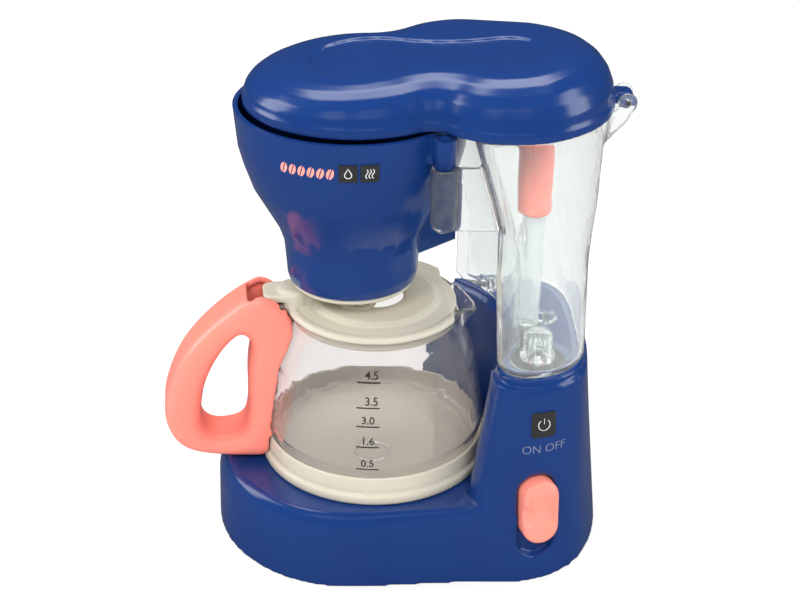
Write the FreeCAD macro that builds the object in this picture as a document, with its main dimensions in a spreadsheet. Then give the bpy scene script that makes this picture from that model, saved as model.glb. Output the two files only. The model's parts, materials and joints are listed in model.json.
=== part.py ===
import FreeCAD, Part
import math
import os
import Sketcher
from FreeCAD import Placement, Rotation, Vector

# Toy coffee maker, in millimetres. The origin is the middle of the underside, +Z is up,
# the column stands on the right (+X) and the front faces -Y.

doc = FreeCAD.newDocument("ToyCoffeeMaker")
sheet = doc.addObject("Spreadsheet::Sheet", "Sizes")


class Size:
    """A length with its value and its formula on the size sheet."""

    def __init__(self, value, text):
        self.value = value
        self.text = text

    def __float__(self):
        return float(self.value)

    def join(self, other, mark, value, swapped=False):
        other = as_size(other)
        left, right = (other, self) if swapped else (self, other)
        return Size(value(left.value, right.value), f"({left.text} {mark} {right.text})")

    def __add__(self, other):
        return self.join(other, "+", lambda a, b: a + b)

    def __radd__(self, other):
        return self.join(other, "+", lambda a, b: a + b, True)

    def __sub__(self, other):
        return self.join(other, "-", lambda a, b: a - b)

    def __rsub__(self, other):
        return self.join(other, "-", lambda a, b: a - b, True)

    def __mul__(self, other):
        return self.join(other, "*", lambda a, b: a * b)

    def __rmul__(self, other):
        return self.join(other, "*", lambda a, b: a * b, True)

    def __truediv__(self, other):
        return self.join(other, "/", lambda a, b: a / b)

    def __neg__(self):
        return Size(-self.value, f"(0 - {self.text})")


def as_size(number):
    return number if isinstance(number, Size) else Size(float(number), repr(float(number)))


row_count = 0


def size(alias, value, remark):
    """Writes one driving size on the sheet and returns it."""
    global row_count
    row_count += 1
    sheet.set(f"A{row_count}", alias)
    sheet.set(f"B{row_count}", str(value))
    sheet.set(f"C{row_count}", remark)
    sheet.setAlias(f"B{row_count}", alias)
    return Size(value, f"Sizes.{alias}")


# Base: two circles joined by tangents
base_left_x = size("base_left_x", -25, "centre of the platform's round end")
base_left_radius = size("base_left_radius", 60, "platform's round end at the floor")
base_right_x = size("base_right_x", 28.5, "centre of the end under the column")
base_right_radius = size("base_right_radius", 56, "that end, inside the column's foot")
base_height = size("base_height", 35, "top of the platform")
base_draft = size("base_draft", 0.6, "how far the platform's wall leans in")
base_right_lean = size("base_right_lean", 4.2, "how far the end under the column leans in")
base_shoulder_height = size("base_shoulder_height", 13, "height of the platform's soft shoulder")
base_shoulder = size("base_shoulder", 5, "width of that shoulder")
shell_wall = size("shell_wall", 2, "wall of the base moulding")
plate_thickness = size("plate_thickness", 2.4, "underside plate")
plate_gap = size("plate_gap", 0.2, "between the underside plate and the moulding")

# Column
column_height = size("column_height", 90, "shoulder under the tank")
column_front = size("column_front", 56.5, "front of the column at the floor")
column_front_top = size("column_front_top", 47.1, "front of the column at its shoulder")
column_back = size("column_back", 56.5, "back of the column at the floor")
column_back_top = size("column_back_top", 47.8, "back of the column at its shoulder")
column_right = size("column_right", 85, "right side at the floor")
column_right_top = size("column_right_top", 75.3, "right side at the shoulder")
column_corner = size("column_corner", 40, "corner radius at the floor")
column_corner_top = size("column_corner_top", 26.8, "corner radius at the shoulder")
column_corner_x = size("column_corner_x", 41, "corner centres at the floor")
column_corner_x_top = size("column_corner_x_top", 47, "corner centres at the shoulder")
column_nose = size("column_nose", 19, "front left side at the floor")
column_nose_top = size("column_nose_top", 33, "front left side at the shoulder")
column_nose_round = size("column_nose_round", 11.5, "round of that front left side")
recess_radius = size("recess_radius", 56.6, "hollow side of the column, about the jug's axis")
plinth_height = size("plinth_height", 3.5, "step that the tank stands on")
plinth_inset = size("plinth_inset", 1.8, "width of that step")

# Water tank
tank_wall = size("tank_wall", 1.6, "clear wall")
tank_floor = size("tank_floor", 2.2, "clear floor")
tank_foot_inset = size("tank_foot_inset", 2, "how far the tank's foot draws in")
tank_right_waist = size("tank_right_waist", 72.8, "right side at the waist")
tank_nose_flare = size("tank_nose_flare", 33, "front left side where that lean starts")
tank_nose_rim = size("tank_nose_rim", 21.3, "front left side at the rim")
lid_overhang = size("lid_overhang", 2.8, "how far the lid stands out over the tank")

# Lid: a round lobe over the funnel and a broad lobe over the tank
lid_left_radius = size("lid_left_radius", 44.5, "round lobe")
lid_left_x = size("lid_left_x", -23.6, "centre of the round lobe")
lid_front = size("lid_front", 48.3, "front of the broad lobe")
lid_back = size("lid_back", 48.6, "back of the broad lobe")
lid_right = size("lid_right", 79.4, "right end of the broad lobe")
lid_corner = size("lid_corner", 36, "corner radius of the broad lobe")
lid_corner_x = size("lid_corner_x", 37, "corner centres of the broad lobe")
lid_bulge_x = size("lid_bulge_x", 16, "centre of the broad lobe's bulge at the back left")
lid_bulge = size("lid_bulge", 7.4, "how far that bulge stands out behind the back")
lid_waist_round = size("lid_waist_round", 10, "hollow curve between the lobes")
lid_rim = size("lid_rim", 3.6, "height of the upright rim")
lid_rim_step = size("lid_rim_step", 0.9, "step above the rim")
lid_dome = size("lid_dome", 13, "height of the dome above the rim at the left")
lid_dome_run = size("lid_dome_run", 19, "how far in the dome goes before it is flat")
lid_tilt = size("lid_tilt", 3.9, "degrees that the top rises to the right")
lid_wall = size("lid_wall", 2, "wall of the lid")
panel_depth = size("panel_depth", 1.1, "recess in the lid's top")
panel_left_x = size("panel_left_x", -18.5, "round end of the recess")
panel_left_radius = size("panel_left_radius", 23.5, "its radius")
panel_right_x = size("panel_right_x", 35, "narrow end of the recess")
panel_right_radius = size("panel_right_radius", 14.5, "its radius")
panel_waist_round = size("panel_waist_round", 60, "hollow curve between its ends")

# Lid hinge at the right end
hinge_x = size("hinge_x", 83.9, "hinge axis")
hinge_pin_radius = size("hinge_pin_radius", 1.2, "steel pin")
hinge_ear_radius = size("hinge_ear_radius", 4, "clear ears of the tank")
hinge_ear_width = size("hinge_ear_width", 2.6, "thickness of one ear")
hinge_tab_width = size("hinge_tab_width", 9, "blue tab of the lid between the ears")
hinge_tab_radius = size("hinge_tab_radius", 3.3, "round end of the tab")
hinge_side_gap = size("hinge_side_gap", 0.4, "between the tab and each ear")
running_gap = size("running_gap", 0.06, "radial clearance of pins and shafts that turn")
snug_gap = size("snug_gap", 0.02, "radial clearance of pins and screws that stay put")
seat_gap = size("seat_gap", 0.2, "between pieces that lie against each other")

# Filter funnel
funnel_x = size("funnel_x", -24.7, "axis of the funnel")
funnel_height = size("funnel_height", 75.8, "height of the funnel")
funnel_wall = size("funnel_wall", 2, "wall of the funnel")
funnel_foot_radius = size("funnel_foot_radius", 26.6, "lower edge")
funnel_throat_radius = size("funnel_throat_radius", 28.3, "where the straight foot ends")
funnel_middle_radius = size("funnel_middle_radius", 34.6, "middle of the flare")
funnel_upper_radius = size("funnel_upper_radius", 44, "shoulder of the flare")
funnel_rim_radius = size("funnel_rim_radius", 47.2, "rim")
recess_gap = size("recess_gap", 2.8, "between the funnel's rim and the tank")
post_x = size("post_x", 10.9, "axis of the funnel's post")
post_y = size("post_y", -38.9, "axis of the funnel's post, from the middle")
post_radius = size("post_radius", 4.4, "post above its socket")
post_pin_radius = size("post_pin_radius", 3.8, "post inside its socket")
post_bore = size("post_bore", 5, "hollow of the post's top")
socket_wall = size("socket_wall", 1.35, "wall of the clear socket")
web_thickness = size("web_thickness", 2, "clear web and blue rib")
rib_reach = size("rib_reach", 18, "right end of the blue rib")
rib_slope = size("rib_slope", 7, "rise of the rib's lower edge")

# Cream insert under the funnel
insert_flange_radius = size("insert_flange_radius", 25.6, "ring that shows under the funnel")
insert_flange = size("insert_flange", 3, "height of that ring")
insert_sleeve = size("insert_sleeve", 9, "sleeve inside the funnel")
nozzle_x = size("nozzle_x", -13.5, "axis of the drip nozzle")
nozzle_radius = size("nozzle_radius", 9.5, "drip nozzle")
nozzle_length = size("nozzle_length", 4.3, "how far the nozzle hangs below the ring")
nozzle_bore = size("nozzle_bore", 2.2, "radius of the drip hole")

# Jug
jug_x = size("jug_x", -15, "axis of the jug")
jug_turn = size("jug_turn", 6.5, "degrees that the jug is turned on the platform")
ring_radius = size("ring_radius", 50, "flange of the cream ring")
ring_flange = size("ring_flange", 4.6, "height of that flange")
ring_height = size("ring_height", 12.8, "top of the cream ring")
ring_upper_radius = size("ring_upper_radius", 48.7, "cream ring above its groove")
ring_groove = size("ring_groove", 0.9, "depth of the groove")
ring_floor = size("ring_floor", 3, "cream floor")
glass_wall = size("glass_wall", 1.8, "wall of the jug")
glass_foot_radius = size("glass_foot_radius", 46.6, "jug inside the ring")
glass_belly_radius = size("glass_belly_radius", 47.6, "widest part of the jug")
glass_shoulder_radius = size("glass_shoulder_radius", 42.6, "shoulder of the jug")
glass_neck_radius = size("glass_neck_radius", 37.1, "neck of the jug")
glass_height = size("glass_height", 71, "rim of the jug above its foot")
spout_reach = size("spout_reach", 48, "tip of the spout from the axis")
spout_drop = size("spout_drop", 19, "height of the spout")
spout_fall = size("spout_fall", 8, "how far the spout's edge falls to its tip")
spout_half_width = size("spout_half_width", 13.5, "half width of the spout at the rim")
lid_disc_radius = size("lid_disc_radius", 38.3, "cream lid")
lid_disc = size("lid_disc", 2.6, "height of the cream lid's rim")
lid_boss_radius = size("lid_boss_radius", 25.4, "raised middle of the cream lid")
lid_boss = size("lid_boss", 0.9, "height of that raised middle")
lid_groove = size("lid_groove", 0.9, "depth of the ring between the lid's rim and its middle")
lid_rim_width = size("lid_rim_width", 3, "raised rim around that ring")
lid_hole_radius = size("lid_hole_radius", 11.5, "hole that the drip falls through")
lid_notch_x = size("lid_notch_x", 30.5, "straight side of the lid before the spout")
lid_skirt = size("lid_skirt", 5, "sleeve of the lid inside the neck")
lever_reach = size("lever_reach", 47.5, "end of the thumb lever from the axis")
lever_width = size("lever_width", 17, "width of the thumb lever")
jug_pin_x = size("jug_pin_x", 40.5, "lid pin from the jug's axis")
jug_pin_radius = size("jug_pin_radius", 1, "lid pin")

# Jug handle
handle_width = size("handle_width", 25, "across the handle")
handle_wall = size("handle_wall", 2, "wall of the hollow handle")
handle_round = size("handle_round", 5.6, "round of the handle's edges")

# Switch on the column's front
switch_x = size("switch_x", 53.3, "middle of the switch")
switch_z = size("switch_z", 35.5, "middle of the knob above the floor")
knob_width = size("knob_width", 15.6, "knob")
knob_length = size("knob_length", 29.6, "knob")
knob_proud = size("knob_proud", 5.5, "how far the knob stands out")
knob_travel = size("knob_travel", 8.5, "how far the knob slides down")
slot_gap = size("slot_gap", 0.6, "between the knob and its slot")
slot_depth = size("slot_depth", 4.5, "floor of the knob's well behind the front")
stem_width = size("stem_width", 5, "stem of the knob")
stem_length = size("stem_length", 7, "stem of the knob")
switch_screw_reach = size("switch_screw_reach", 14.5, "switch screws from the middle of the travel")

# Motor and pump under the tank's floor
pump_x = size("pump_x", 51.8, "axis of motor and pump")
pump_y = size("pump_y", -27.5, "axis of motor and pump, from the middle")
motor_radius = size("motor_radius", 10, "motor can")
motor_length = size("motor_length", 24, "motor can")
shaft_radius = size("shaft_radius", 1, "motor shaft")
pump_radius = size("pump_radius", 11, "pump housing")
pump_depth = size("pump_depth", 10.5, "pump housing")
pump_wall = size("pump_wall", 1.5, "wall of the pump housing")
impeller_radius = size("impeller_radius", 7.8, "impeller")
impeller_height = size("impeller_height", 4, "blades of the impeller")
gasket_thickness = size("gasket_thickness", 0.8, "rubber seal on the pump housing")
cap_radius = size("cap_radius", 6, "clear cap over the pump's inlet")
cap_height = size("cap_height", 11.5, "that cap")
cap_flange_radius = size("cap_flange_radius", 7.4, "foot of that cap")
riser_x = size("riser_x", 50.3, "axis of the riser tube")
riser_y = size("riser_y", 2, "axis of the riser tube, from the middle")
riser_radius = size("riser_radius", 5, "clear riser tube")
riser_bore = size("riser_bore", 3.7, "its bore")
outlet_radius = size("outlet_radius", 7.4, "salmon outlet pipe")
outlet_arm_radius = size("outlet_arm_radius", 4.4, "level arm of the outlet pipe")
outlet_bore = size("outlet_bore", 2.6, "bore of the level arm")
outlet_end_x = size("outlet_end_x", 2, "where the pipe bends down over the funnel")

# Cells and contacts
cell_radius = size("cell_radius", 7.1, "size AA cell")
cell_length = size("cell_length", 49.2, "size AA cell without its nub")
cell_nub = size("cell_nub", 1.2, "nub of the cell")
cell_pitch = size("cell_pitch", 15.2, "from cell to cell")
cell_row_x = size("cell_row_x", -30, "middle cell")
well_wall = size("well_wall", 1.5, "wall of the battery well")
contact_room = size("contact_room", 3, "room for the contacts at each end")
contact_thickness = size("contact_thickness", 0.4, "sheet of the contacts")
door_thickness = size("door_thickness", 1.2, "battery door")
door_margin = size("door_margin", 3, "how far the door laps past the well")
door_gap = size("door_gap", 0.3, "between the door and the plate")
groove_pitch = size("groove_pitch", 4, "finger grooves of the door, from one to the next")
groove_width = size("groove_width", 1.6, "finger groove")
groove_length = size("groove_length", 9, "finger groove")
groove_depth = size("groove_depth", 0.5, "finger groove")
groove_margin = size("groove_margin", 5, "from the door's edge to its finger grooves")

# Fasteners, feet and labels
screw_radius = size("screw_radius", 1.25, "shank")
screw_head_radius = size("screw_head_radius", 2.5, "head")
screw_head = size("screw_head", 1.4, "height of a head")
screw_length = size("screw_length", 9, "shank length")
short_screw = size("short_screw", 5, "shank of the short screws")
tank_boss_height = size("tank_boss_height", 3.2, "screw bosses inside the tank")
post_wall = size("post_wall", 1.75, "wall of a screw post")
label_thickness = size("label_thickness", 0.5, "dark label tiles")
label_side = size("label_side", 8.6, "funnel labels")
label_x = size("label_x", 54, "column label")
column_label_side = size("column_label_side", 10.5, "column label")

# Heights, each piece from the one that it stands on or hangs from
lever_rise = size("lever_rise", 9.2, "thumb lever above the jug's rim")
lever_top_height = glass_height + lever_rise
lever_pin_drop = size("lever_pin_drop", 5.8, "lid pin below the top of the thumb lever")
funnel_gap = size("funnel_gap", 4.8, "between the thumb lever and the funnel's lower edge")
funnel_foot = base_height + lever_top_height + funnel_gap
funnel_rim = funnel_foot + funnel_height
lid_gap = size("lid_gap", 1.2, "between the funnel's rim and the lid")
lid_base = funnel_rim + lid_gap
tank_rim_gap = size("tank_rim_gap", 0.4, "between the tank's rim and the lid")
tank_height = lid_base - tank_rim_gap
tank_waist_rise = size("tank_waist_rise", 40, "slimmest part of the tank above the column")
tank_waist_height = column_height + tank_waist_rise
tank_flare_drop = size("tank_flare_drop", 39.6, "start of the tank's lean below its rim")
tank_flare_height = tank_height - tank_flare_drop
hinge_rise = size("hinge_rise", 1.2, "hinge axis above the lid's underside")
hinge_z = lid_base + hinge_rise
socket_drop = size("socket_drop", 11.3, "mouth of the socket below the funnel's rim")
socket_top = funnel_rim - socket_drop
socket_length = size("socket_length", 27, "length of the socket")
socket_foot = socket_top - socket_length
rib_lap = size("rib_lap", 2.5, "top of the blue rib above the socket's foot")
rib_top = socket_foot + rib_lap
riser_drop = size("riser_drop", 44.6, "upper end of the riser tube below the tank's rim")
riser_top = tank_height - riser_drop
outlet_lap = size("outlet_lap", 5, "how far the outlet pipe reaches over the riser tube")
outlet_foot = riser_top - outlet_lap
outlet_rise = size("outlet_rise", 5.6, "axis of the pipe's level arm above the lid's underside")
outlet_level = lid_base + outlet_rise
label_drop = size("label_drop", 14.8, "lower edge of the funnel's labels below the rim")
label_low = funnel_rim - label_drop
label_high = label_low + size("label_height", 7, "height of the funnel's labels")
column_label_drop = size("column_label_drop", 15.5, "middle of the column label below the shoulder")
label_z = column_height - column_label_drop
motor_drop = size("motor_drop", 38, "underside of the motor can below the column's shoulder")
motor_foot = column_height - motor_drop

doc.recompute()

nodes = []


def keep(item, label):
    """Names a finished piece and puts it on the list of pieces."""
    item.Label = label
    nodes.append(item)
    return item


def vec(x, y, z):
    return Vector(float(x), float(y), float(z))


def bind(item, **values):
    for prop, value in values.items():
        setattr(item, prop, float(value))
        if isinstance(value, Size):
            item.setExpression(prop, value.text)


def place(item, x=0, y=0, z=0, turn=None):
    """Puts a piece at x, y, z, each tied to the sheet, with an optional rotation."""
    item.Placement = Placement(vec(x, y, z), turn or Rotation())
    for axis, value in zip("xyz", (x, y, z)):
        if isinstance(value, Size):
            item.setExpression(f"Placement.Base.{axis}", value.text)


TO_X = Rotation(Vector(0, 1, 0), 90)
TO_Y = Rotation(Vector(1, 0, 0), -90)
TO_FRONT = Rotation(Vector(1, 0, 0), 90)


def box(name, length, width, height, x, y, z):
    item = doc.addObject("Part::Box", name)
    bind(item, Length=length, Width=width, Height=height)
    place(item, x, y, z)
    return item


def rod(name, radius, height, x, y, z, turn=None):
    item = doc.addObject("Part::Cylinder", name)
    bind(item, Radius=radius, Height=height)
    place(item, x, y, z, turn)
    return item


def fuse(name, parts):
    item = doc.addObject("Part::MultiFuse", name)
    item.Shapes = parts
    item.Refine = True
    return item


def group(name, parts):
    item = doc.addObject("Part::Compound", name)
    item.Links = parts
    return item


def cut(name, base, tool):
    item = doc.addObject("Part::Cut", name)
    item.Base = base
    item.Tool = tool
    item.Refine = True
    return item


def made(name, shape):
    """A piece whose shape is made by code from the sheet's values."""
    item = doc.addObject("Part::Feature", name)
    item.Shape = shape
    return item


def origin_plane(body, role):
    return next(f for f in body.Origin.OriginFeatures if f.Role == role)


def sketch_on(body, name, role="XY_Plane", lift=0):
    item = body.newObject("Sketcher::SketchObject", name)
    item.AttachmentSupport = [(origin_plane(body, role), "")]
    item.MapMode = "FlatFace"
    item.AttachmentOffset = Placement(vec(0, 0, lift), Rotation())
    if isinstance(lift, Size):
        item.setExpression("AttachmentOffset.Base.z", lift.text)
    return item


def pin_point(item, index, end, x, y):
    """Ties one point of a sketch to the sheet by its two distances from the origin."""
    for kind, value, line in (("DistanceX", x, -2), ("DistanceY", y, -1)):
        if abs(float(value)) < 1e-9:
            item.addConstraint(Sketcher.Constraint("PointOnObject", index, end, line))
            continue
        number = item.addConstraint(
            Sketcher.Constraint(kind, -1, 1, index, end, float(value))
        )
        if isinstance(value, Size):
            item.setExpression(f"Constraints[{number}]", value.text)


def polygon(item, points):
    """Closed outline of straight lines, each corner tied to the sheet."""
    count = len(points)
    for index, (x, y) in enumerate(points):
        following = points[(index + 1) % count]
        item.addGeometry(Part.LineSegment(vec(x, y, 0), vec(*following, 0)), False)
    for index in range(count):
        following = (index + 1) % count
        item.addConstraint(Sketcher.Constraint("Coincident", index, 2, following, 1))
    for index, (x, y) in enumerate(points):
        pin_point(item, index, 1, x, y)
    return item


def new_body(name):
    return doc.addObject("PartDesign::Body", name)


def turned(name, points, x=0, y=0, z=0):
    """A turned piece: its half section, from the axis outwards, spun about Z."""
    body = new_body(name)
    profile = polygon(sketch_on(body, f"{name}_section", "XZ_Plane"), points)
    spin = body.newObject("PartDesign::Revolution", f"{name}_spin")
    spin.Profile = (profile, [""])
    spin.ReferenceAxis = (profile, ["V_Axis"])
    spin.Angle = 360
    place(body, x, y, z)
    return body


def pad(body, profile, height, name):
    item = body.newObject("PartDesign::Pad", name)
    item.Profile = (profile, [""])
    bind(item, Length=height)
    return item


def pocket(body, profile, depth, name, backwards=False):
    """Cuts a sketch into the body and checks that it took something away."""
    doc.recompute()
    before = body.Shape.Volume
    item = body.newObject("PartDesign::Pocket", name)
    item.Profile = (profile, [""])
    bind(item, Length=depth)
    item.Reversed = backwards
    doc.recompute()
    if not body.Shape.Volume < before - 1e-6:
        raise ValueError(f"{name} cuts nothing")
    return item


def is_level(edge, height, tolerance=0.01):
    box_ = edge.BoundBox
    return abs(box_.ZMin - height) < tolerance and abs(box_.ZMax - height) < tolerance


# Outlines


def arc(centre, radius, start, end, height):
    """Arc edge from one angle to another, in radians."""
    points = []
    for angle in (start, (start + end) / 2, end):
        points.append(Vector(
            centre[0] + radius * math.cos(angle), centre[1] + radius * math.sin(angle), height
        ))
    return Part.Arc(*points).toShape()


def platform_outline(inset, height, shoulder=0.0):
    """Two circles joined by tangents. The shoulder draws in the left one only."""
    left_x, right_x = float(base_left_x), float(base_right_x)
    left_r = float(base_left_radius) - inset - shoulder
    lean = float(base_right_lean) * height / float(base_height)
    right_r = float(base_right_radius) - inset - lean
    angle = math.acos((left_r - right_r) / (right_x - left_x))
    left = arc((left_x, 0), left_r, angle, 2 * math.pi - angle, height)
    right = arc((right_x, 0), right_r, -angle, angle, height)
    lower = Part.LineSegment(left.Vertexes[-1].Point, right.Vertexes[0].Point).toShape()
    upper = Part.LineSegment(right.Vertexes[-1].Point, left.Vertexes[0].Point).toShape()
    return Part.Wire([left, lower, right, upper])


def broad_arcs(front, back, right, corner, corner_x, height, inset):
    """Front corner, right side and back corner of the broad end, as three tangent arcs."""
    middle = (back - front) / 2
    reach = (back + front) / 2 - corner
    spare = right - corner
    side_x = (spare**2 - corner_x**2 - reach**2) / (2 * (spare - corner_x))
    side_r = right - side_x
    angle = math.atan2(reach, corner_x - side_x)
    low = (corner_x, middle - reach)
    high = (corner_x, middle + reach)
    return [
        arc(low, corner - inset, -math.pi / 2, -angle, height),
        arc((side_x, middle), side_r - inset, -angle, angle, height),
        arc(high, corner - inset, angle, math.pi / 2, height),
    ]


def column_outline(front, back, right, corner, corner_x, nose, height, inset=0.0):
    """Outline of column and tank: nose at the front left, broad end at the right."""
    arcs = broad_arcs(front, back, right, corner, corner_x, height, inset)
    round_ = float(column_nose_round)
    inner = round_ - inset
    turn = arc((nose + round_, round_ - front), inner, math.pi, 1.5 * math.pi, height)
    tail = float(jug_x) + 23 + inset
    corners = [
        Vector(nose + inset, 0, height),
        turn.Vertexes[0].Point,
        turn.Vertexes[-1].Point,
        arcs[0].Vertexes[0].Point,
        arcs[-1].Vertexes[-1].Point,
        Vector(tail, back - inset, height),
        Vector(tail, 0, height),
    ]
    edges = [
        Part.LineSegment(corners[0], corners[1]).toShape(),
        turn,
        Part.LineSegment(corners[2], corners[3]).toShape(),
        *arcs,
        Part.LineSegment(corners[4], corners[5]).toShape(),
        Part.LineSegment(corners[5], corners[6]).toShape(),
        Part.LineSegment(corners[6], corners[0]).toShape(),
    ]
    return Part.Wire(edges)


def blend(low, high, part):
    """Each value of the outline, part of the way from one to the other."""
    return {key: low[key] + (high[key] - low[key]) * part for key in low}


column_floor_outline = dict(
    front=float(column_front),
    back=float(column_back),
    right=float(column_right),
    corner=float(column_corner),
    corner_x=float(column_corner_x),
    nose=float(column_nose),
)
column_top_outline = dict(
    front=float(column_front_top),
    back=float(column_back_top),
    right=float(column_right_top),
    corner=float(column_corner_top),
    corner_x=float(column_corner_x_top),
    nose=float(column_nose_top),
)


def column_at(height, inset=0.0):
    """The column's outline at a height, between the floor and the shoulder."""
    spec = blend(column_floor_outline, column_top_outline, height / float(column_height))
    return column_outline(height=height, inset=inset, **spec)


def plinth_spec():
    step = float(plinth_inset)
    drawn_in = {key: value - step for key, value in column_top_outline.items()}
    drawn_in["corner_x"] = float(column_corner_x_top)
    drawn_in["nose"] = float(column_nose_top) + step
    return drawn_in


def tank_spec(level):
    """The tank's outline at its foot, its waist, its flare or its rim."""
    over = float(lid_overhang)
    rim = dict(
        front=float(lid_front) - over,
        back=float(lid_back) - over,
        right=float(lid_right) - over,
        corner=float(lid_corner) - over,
        corner_x=float(lid_corner_x),
        nose=float(tank_nose_rim),
    )
    foot = plinth_spec()
    spec = dict(
        foot=foot, waist=blend(foot, rim, 0.35), flare=blend(foot, rim, 0.6), rim=rim
    )[level]
    if level == "waist":
        spec["right"] = float(tank_right_waist)
    if level in ("waist", "flare"):
        spec["nose"] = float(tank_nose_flare)
    return spec


def tank_outline(level, height, inset=0.0):
    return column_outline(height=height, inset=inset, **tank_spec(level))


def peanut(left_x, left_r, arcs, waist, inset, height):
    """A round lobe, hollow waists and the arcs of a second lobe."""
    first, last = arcs[0], arcs[-1]
    low, high = first.Curve.Center, last.Curve.Center
    corner = first.Curve.Radius + inset

    def waist_centre(centre, side):
        """Centre of the hollow arc that touches both lobes."""
        gap = math.hypot(centre.x - left_x, centre.y)
        near = left_r + waist
        far = corner + waist
        along = (near**2 - far**2 + gap**2) / (2 * gap)
        lean = side * math.acos(along / near)
        base = math.atan2(centre.y, centre.x - left_x)
        return left_x + near * math.cos(base + lean), near * math.sin(base + lean)

    def angle_to(start, end):
        return math.atan2(end[1] - start[1], end[0] - start[0])

    whole = 2 * math.pi
    left = (left_x, 0)
    front = waist_centre(low, -1)
    back = waist_centre(high, 1)
    corner_end = first.Vertexes[-1].Point
    corner_start = last.Vertexes[0].Point
    edges = [
        arc(left, left_r - inset, angle_to(left, back), angle_to(left, front) + whole, height),
        arc(
            front, waist + inset,
            angle_to(front, left) % whole, angle_to(front, low) % whole, height,
        ),
        arc(low, corner - inset, angle_to(low, front), angle_to(low, corner_end), height),
        *arcs[1:-1],
        arc(high, corner - inset, angle_to(high, corner_start), angle_to(high, back), height),
        arc(
            back, waist + inset,
            angle_to(back, high) % whole, angle_to(back, left) % whole, height,
        ),
    ]
    return Part.Wire(edges)


def lid_outline(inset, height):
    arcs = broad_arcs(
        float(lid_front), float(lid_back), float(lid_right),
        float(lid_corner), float(lid_corner_x), height, inset,
    )
    radius = float(lid_corner)
    near = Vector(float(lid_corner_x), float(lid_back) - radius, height)
    far = Vector(float(lid_bulge_x), near.y + float(lid_bulge), height)
    angle = math.atan2(near.x - far.x, far.y - near.y)
    right_corner = arcs[-1]
    start = right_corner.Vertexes[0].Point
    start_angle = math.atan2(start.y - near.y, start.x - near.x)
    ends = []
    for middle in (near, far):
        ends.append(middle + Vector(math.cos(angle), math.sin(angle), 0) * (radius - inset))
    arcs = [
        *arcs[:-1],
        arc((near.x, near.y), radius - inset, start_angle, angle, height),
        Part.LineSegment(*ends).toShape(),
        arc((far.x, far.y), radius - inset, angle, math.pi, height),
    ]
    return peanut(
        float(lid_left_x), float(lid_left_radius), arcs, float(lid_waist_round), inset, height
    )


def panel_outline(inset, height):
    radius = float(panel_right_radius) - inset
    centre = (float(panel_right_x), 0)
    arcs = [
        arc(centre, radius, -math.pi / 2, 0, height),
        arc(centre, radius, 0, math.pi / 2, height),
    ]
    return peanut(
        float(panel_left_x), float(panel_left_radius), arcs, float(panel_waist_round), inset, height
    )


def loft(wires, ruled=True):
    return Part.makeLoft(wires, True, ruled)


def drum(x, y, low, high, radius, top_radius=None):
    """Upright cylinder or cone between two heights."""
    spot = vec(x, y, low)
    tall = float(high) - float(low)
    if top_radius is None:
        return Part.makeCylinder(float(radius), tall, spot)
    return Part.makeCone(float(radius), float(top_radius), tall, spot)


def block(low, high):
    """Box between two corners."""
    low, high = vec(*low), vec(*high)
    gap = high - low
    return Part.makeBox(gap.x, gap.y, gap.z, low)


def joined(shapes):
    return shapes[0].fuse(shapes[1:]).removeSplitter()


def quarter_steps(count):
    """Angles from 0 to a right angle."""
    return [math.pi / 2 * n / count for n in range(count + 1)]


# Frame of the switch on the leaning front


def front_y(x, height):
    """Depth of the column's front at a point, on its flat or on its front corner."""
    spec = blend(column_floor_outline, column_top_outline, height / float(column_height))
    aside = max(0.0, x - spec["corner_x"])
    return -spec["front"] + spec["corner"] - math.sqrt(spec["corner"] ** 2 - aside**2)


def front_placement(x, height):
    """Its Z runs up the column's front and its -Y points out of it."""
    x, height, step = float(x), float(height), 4.0
    across = (front_y(x + step, height) - front_y(x - step, height)) / (2 * step)
    upward = (front_y(x, height + step) - front_y(x, height - step)) / (2 * step)
    yaw = math.atan(across)
    lean = math.atan(upward * math.cos(yaw))
    turn = Rotation(Vector(0, 0, 1), math.degrees(yaw)).multiply(
        Rotation(Vector(1, 0, 0), -math.degrees(lean))
    )
    return Placement(Vector(x, front_y(x, height), height), turn)


def on_front(shape, x=switch_x, height=switch_z):
    shape = shape.copy()
    shape.Placement = front_placement(x, height).multiply(shape.Placement)
    return shape


def capsule(width, length, near, far, middle=0.0):
    """Upright bar with round ends in the switch's frame, between two depths."""
    radius = width / 2
    straight = length / 2 - radius
    shapes = [block((-radius, near, middle - straight), (radius, far, middle + straight))]
    for side in (-1, 1):
        spot = Vector(0, near, middle + side * straight)
        shapes.append(Part.makeCylinder(radius, far - near, spot, Vector(0, 1, 0)))
    return joined(shapes)


# Base moulding

base_screw_spots = [(-72, 0), (-40, -43), (-40, 43), (36, -26), (36, 26)]
cradle_angles = [-150, 8, 60]
tank_screw_spots = [(59, 5), (38, 36)]
screw_post_radius = screw_radius + post_wall


def cradle_spots():
    reach = float(pump_radius) + float(screw_post_radius) + 0.6
    spots = []
    for angle in cradle_angles:
        turn = math.radians(angle)
        spots.append(
            (float(pump_x) + reach * math.cos(turn), float(pump_y) + reach * math.sin(turn))
        )
    return spots


def platform_solid(inset, top):
    wall_top = float(base_height) - float(base_shoulder_height)
    rise = top - wall_top
    draft = float(base_draft)
    lower = loft([platform_outline(inset, 0), platform_outline(inset, wall_top, draft)])
    wires = []
    for angle in quarter_steps(6):
        drawn_in = draft + float(base_shoulder) * (1 - math.cos(angle))
        wires.append(platform_outline(inset, wall_top + rise * math.sin(angle), drawn_in))
    return lower.fuse(loft(wires))


def column_solid(inset, top):
    solid = loft([column_at(0, inset), column_at(top, inset)])
    floor = float(base_height) - inset
    return solid.cut(drum(jug_x, 0, floor, top + 1, float(recess_radius) + inset))


def plinth_solid(inset, low, high):
    wires = [column_outline(height=z, inset=inset, **plinth_spec()) for z in (low, high)]
    reach = float(recess_radius) + float(plinth_inset) + inset
    return loft(wires).cut(drum(jug_x, 0, 0, high + 1, reach))


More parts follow.
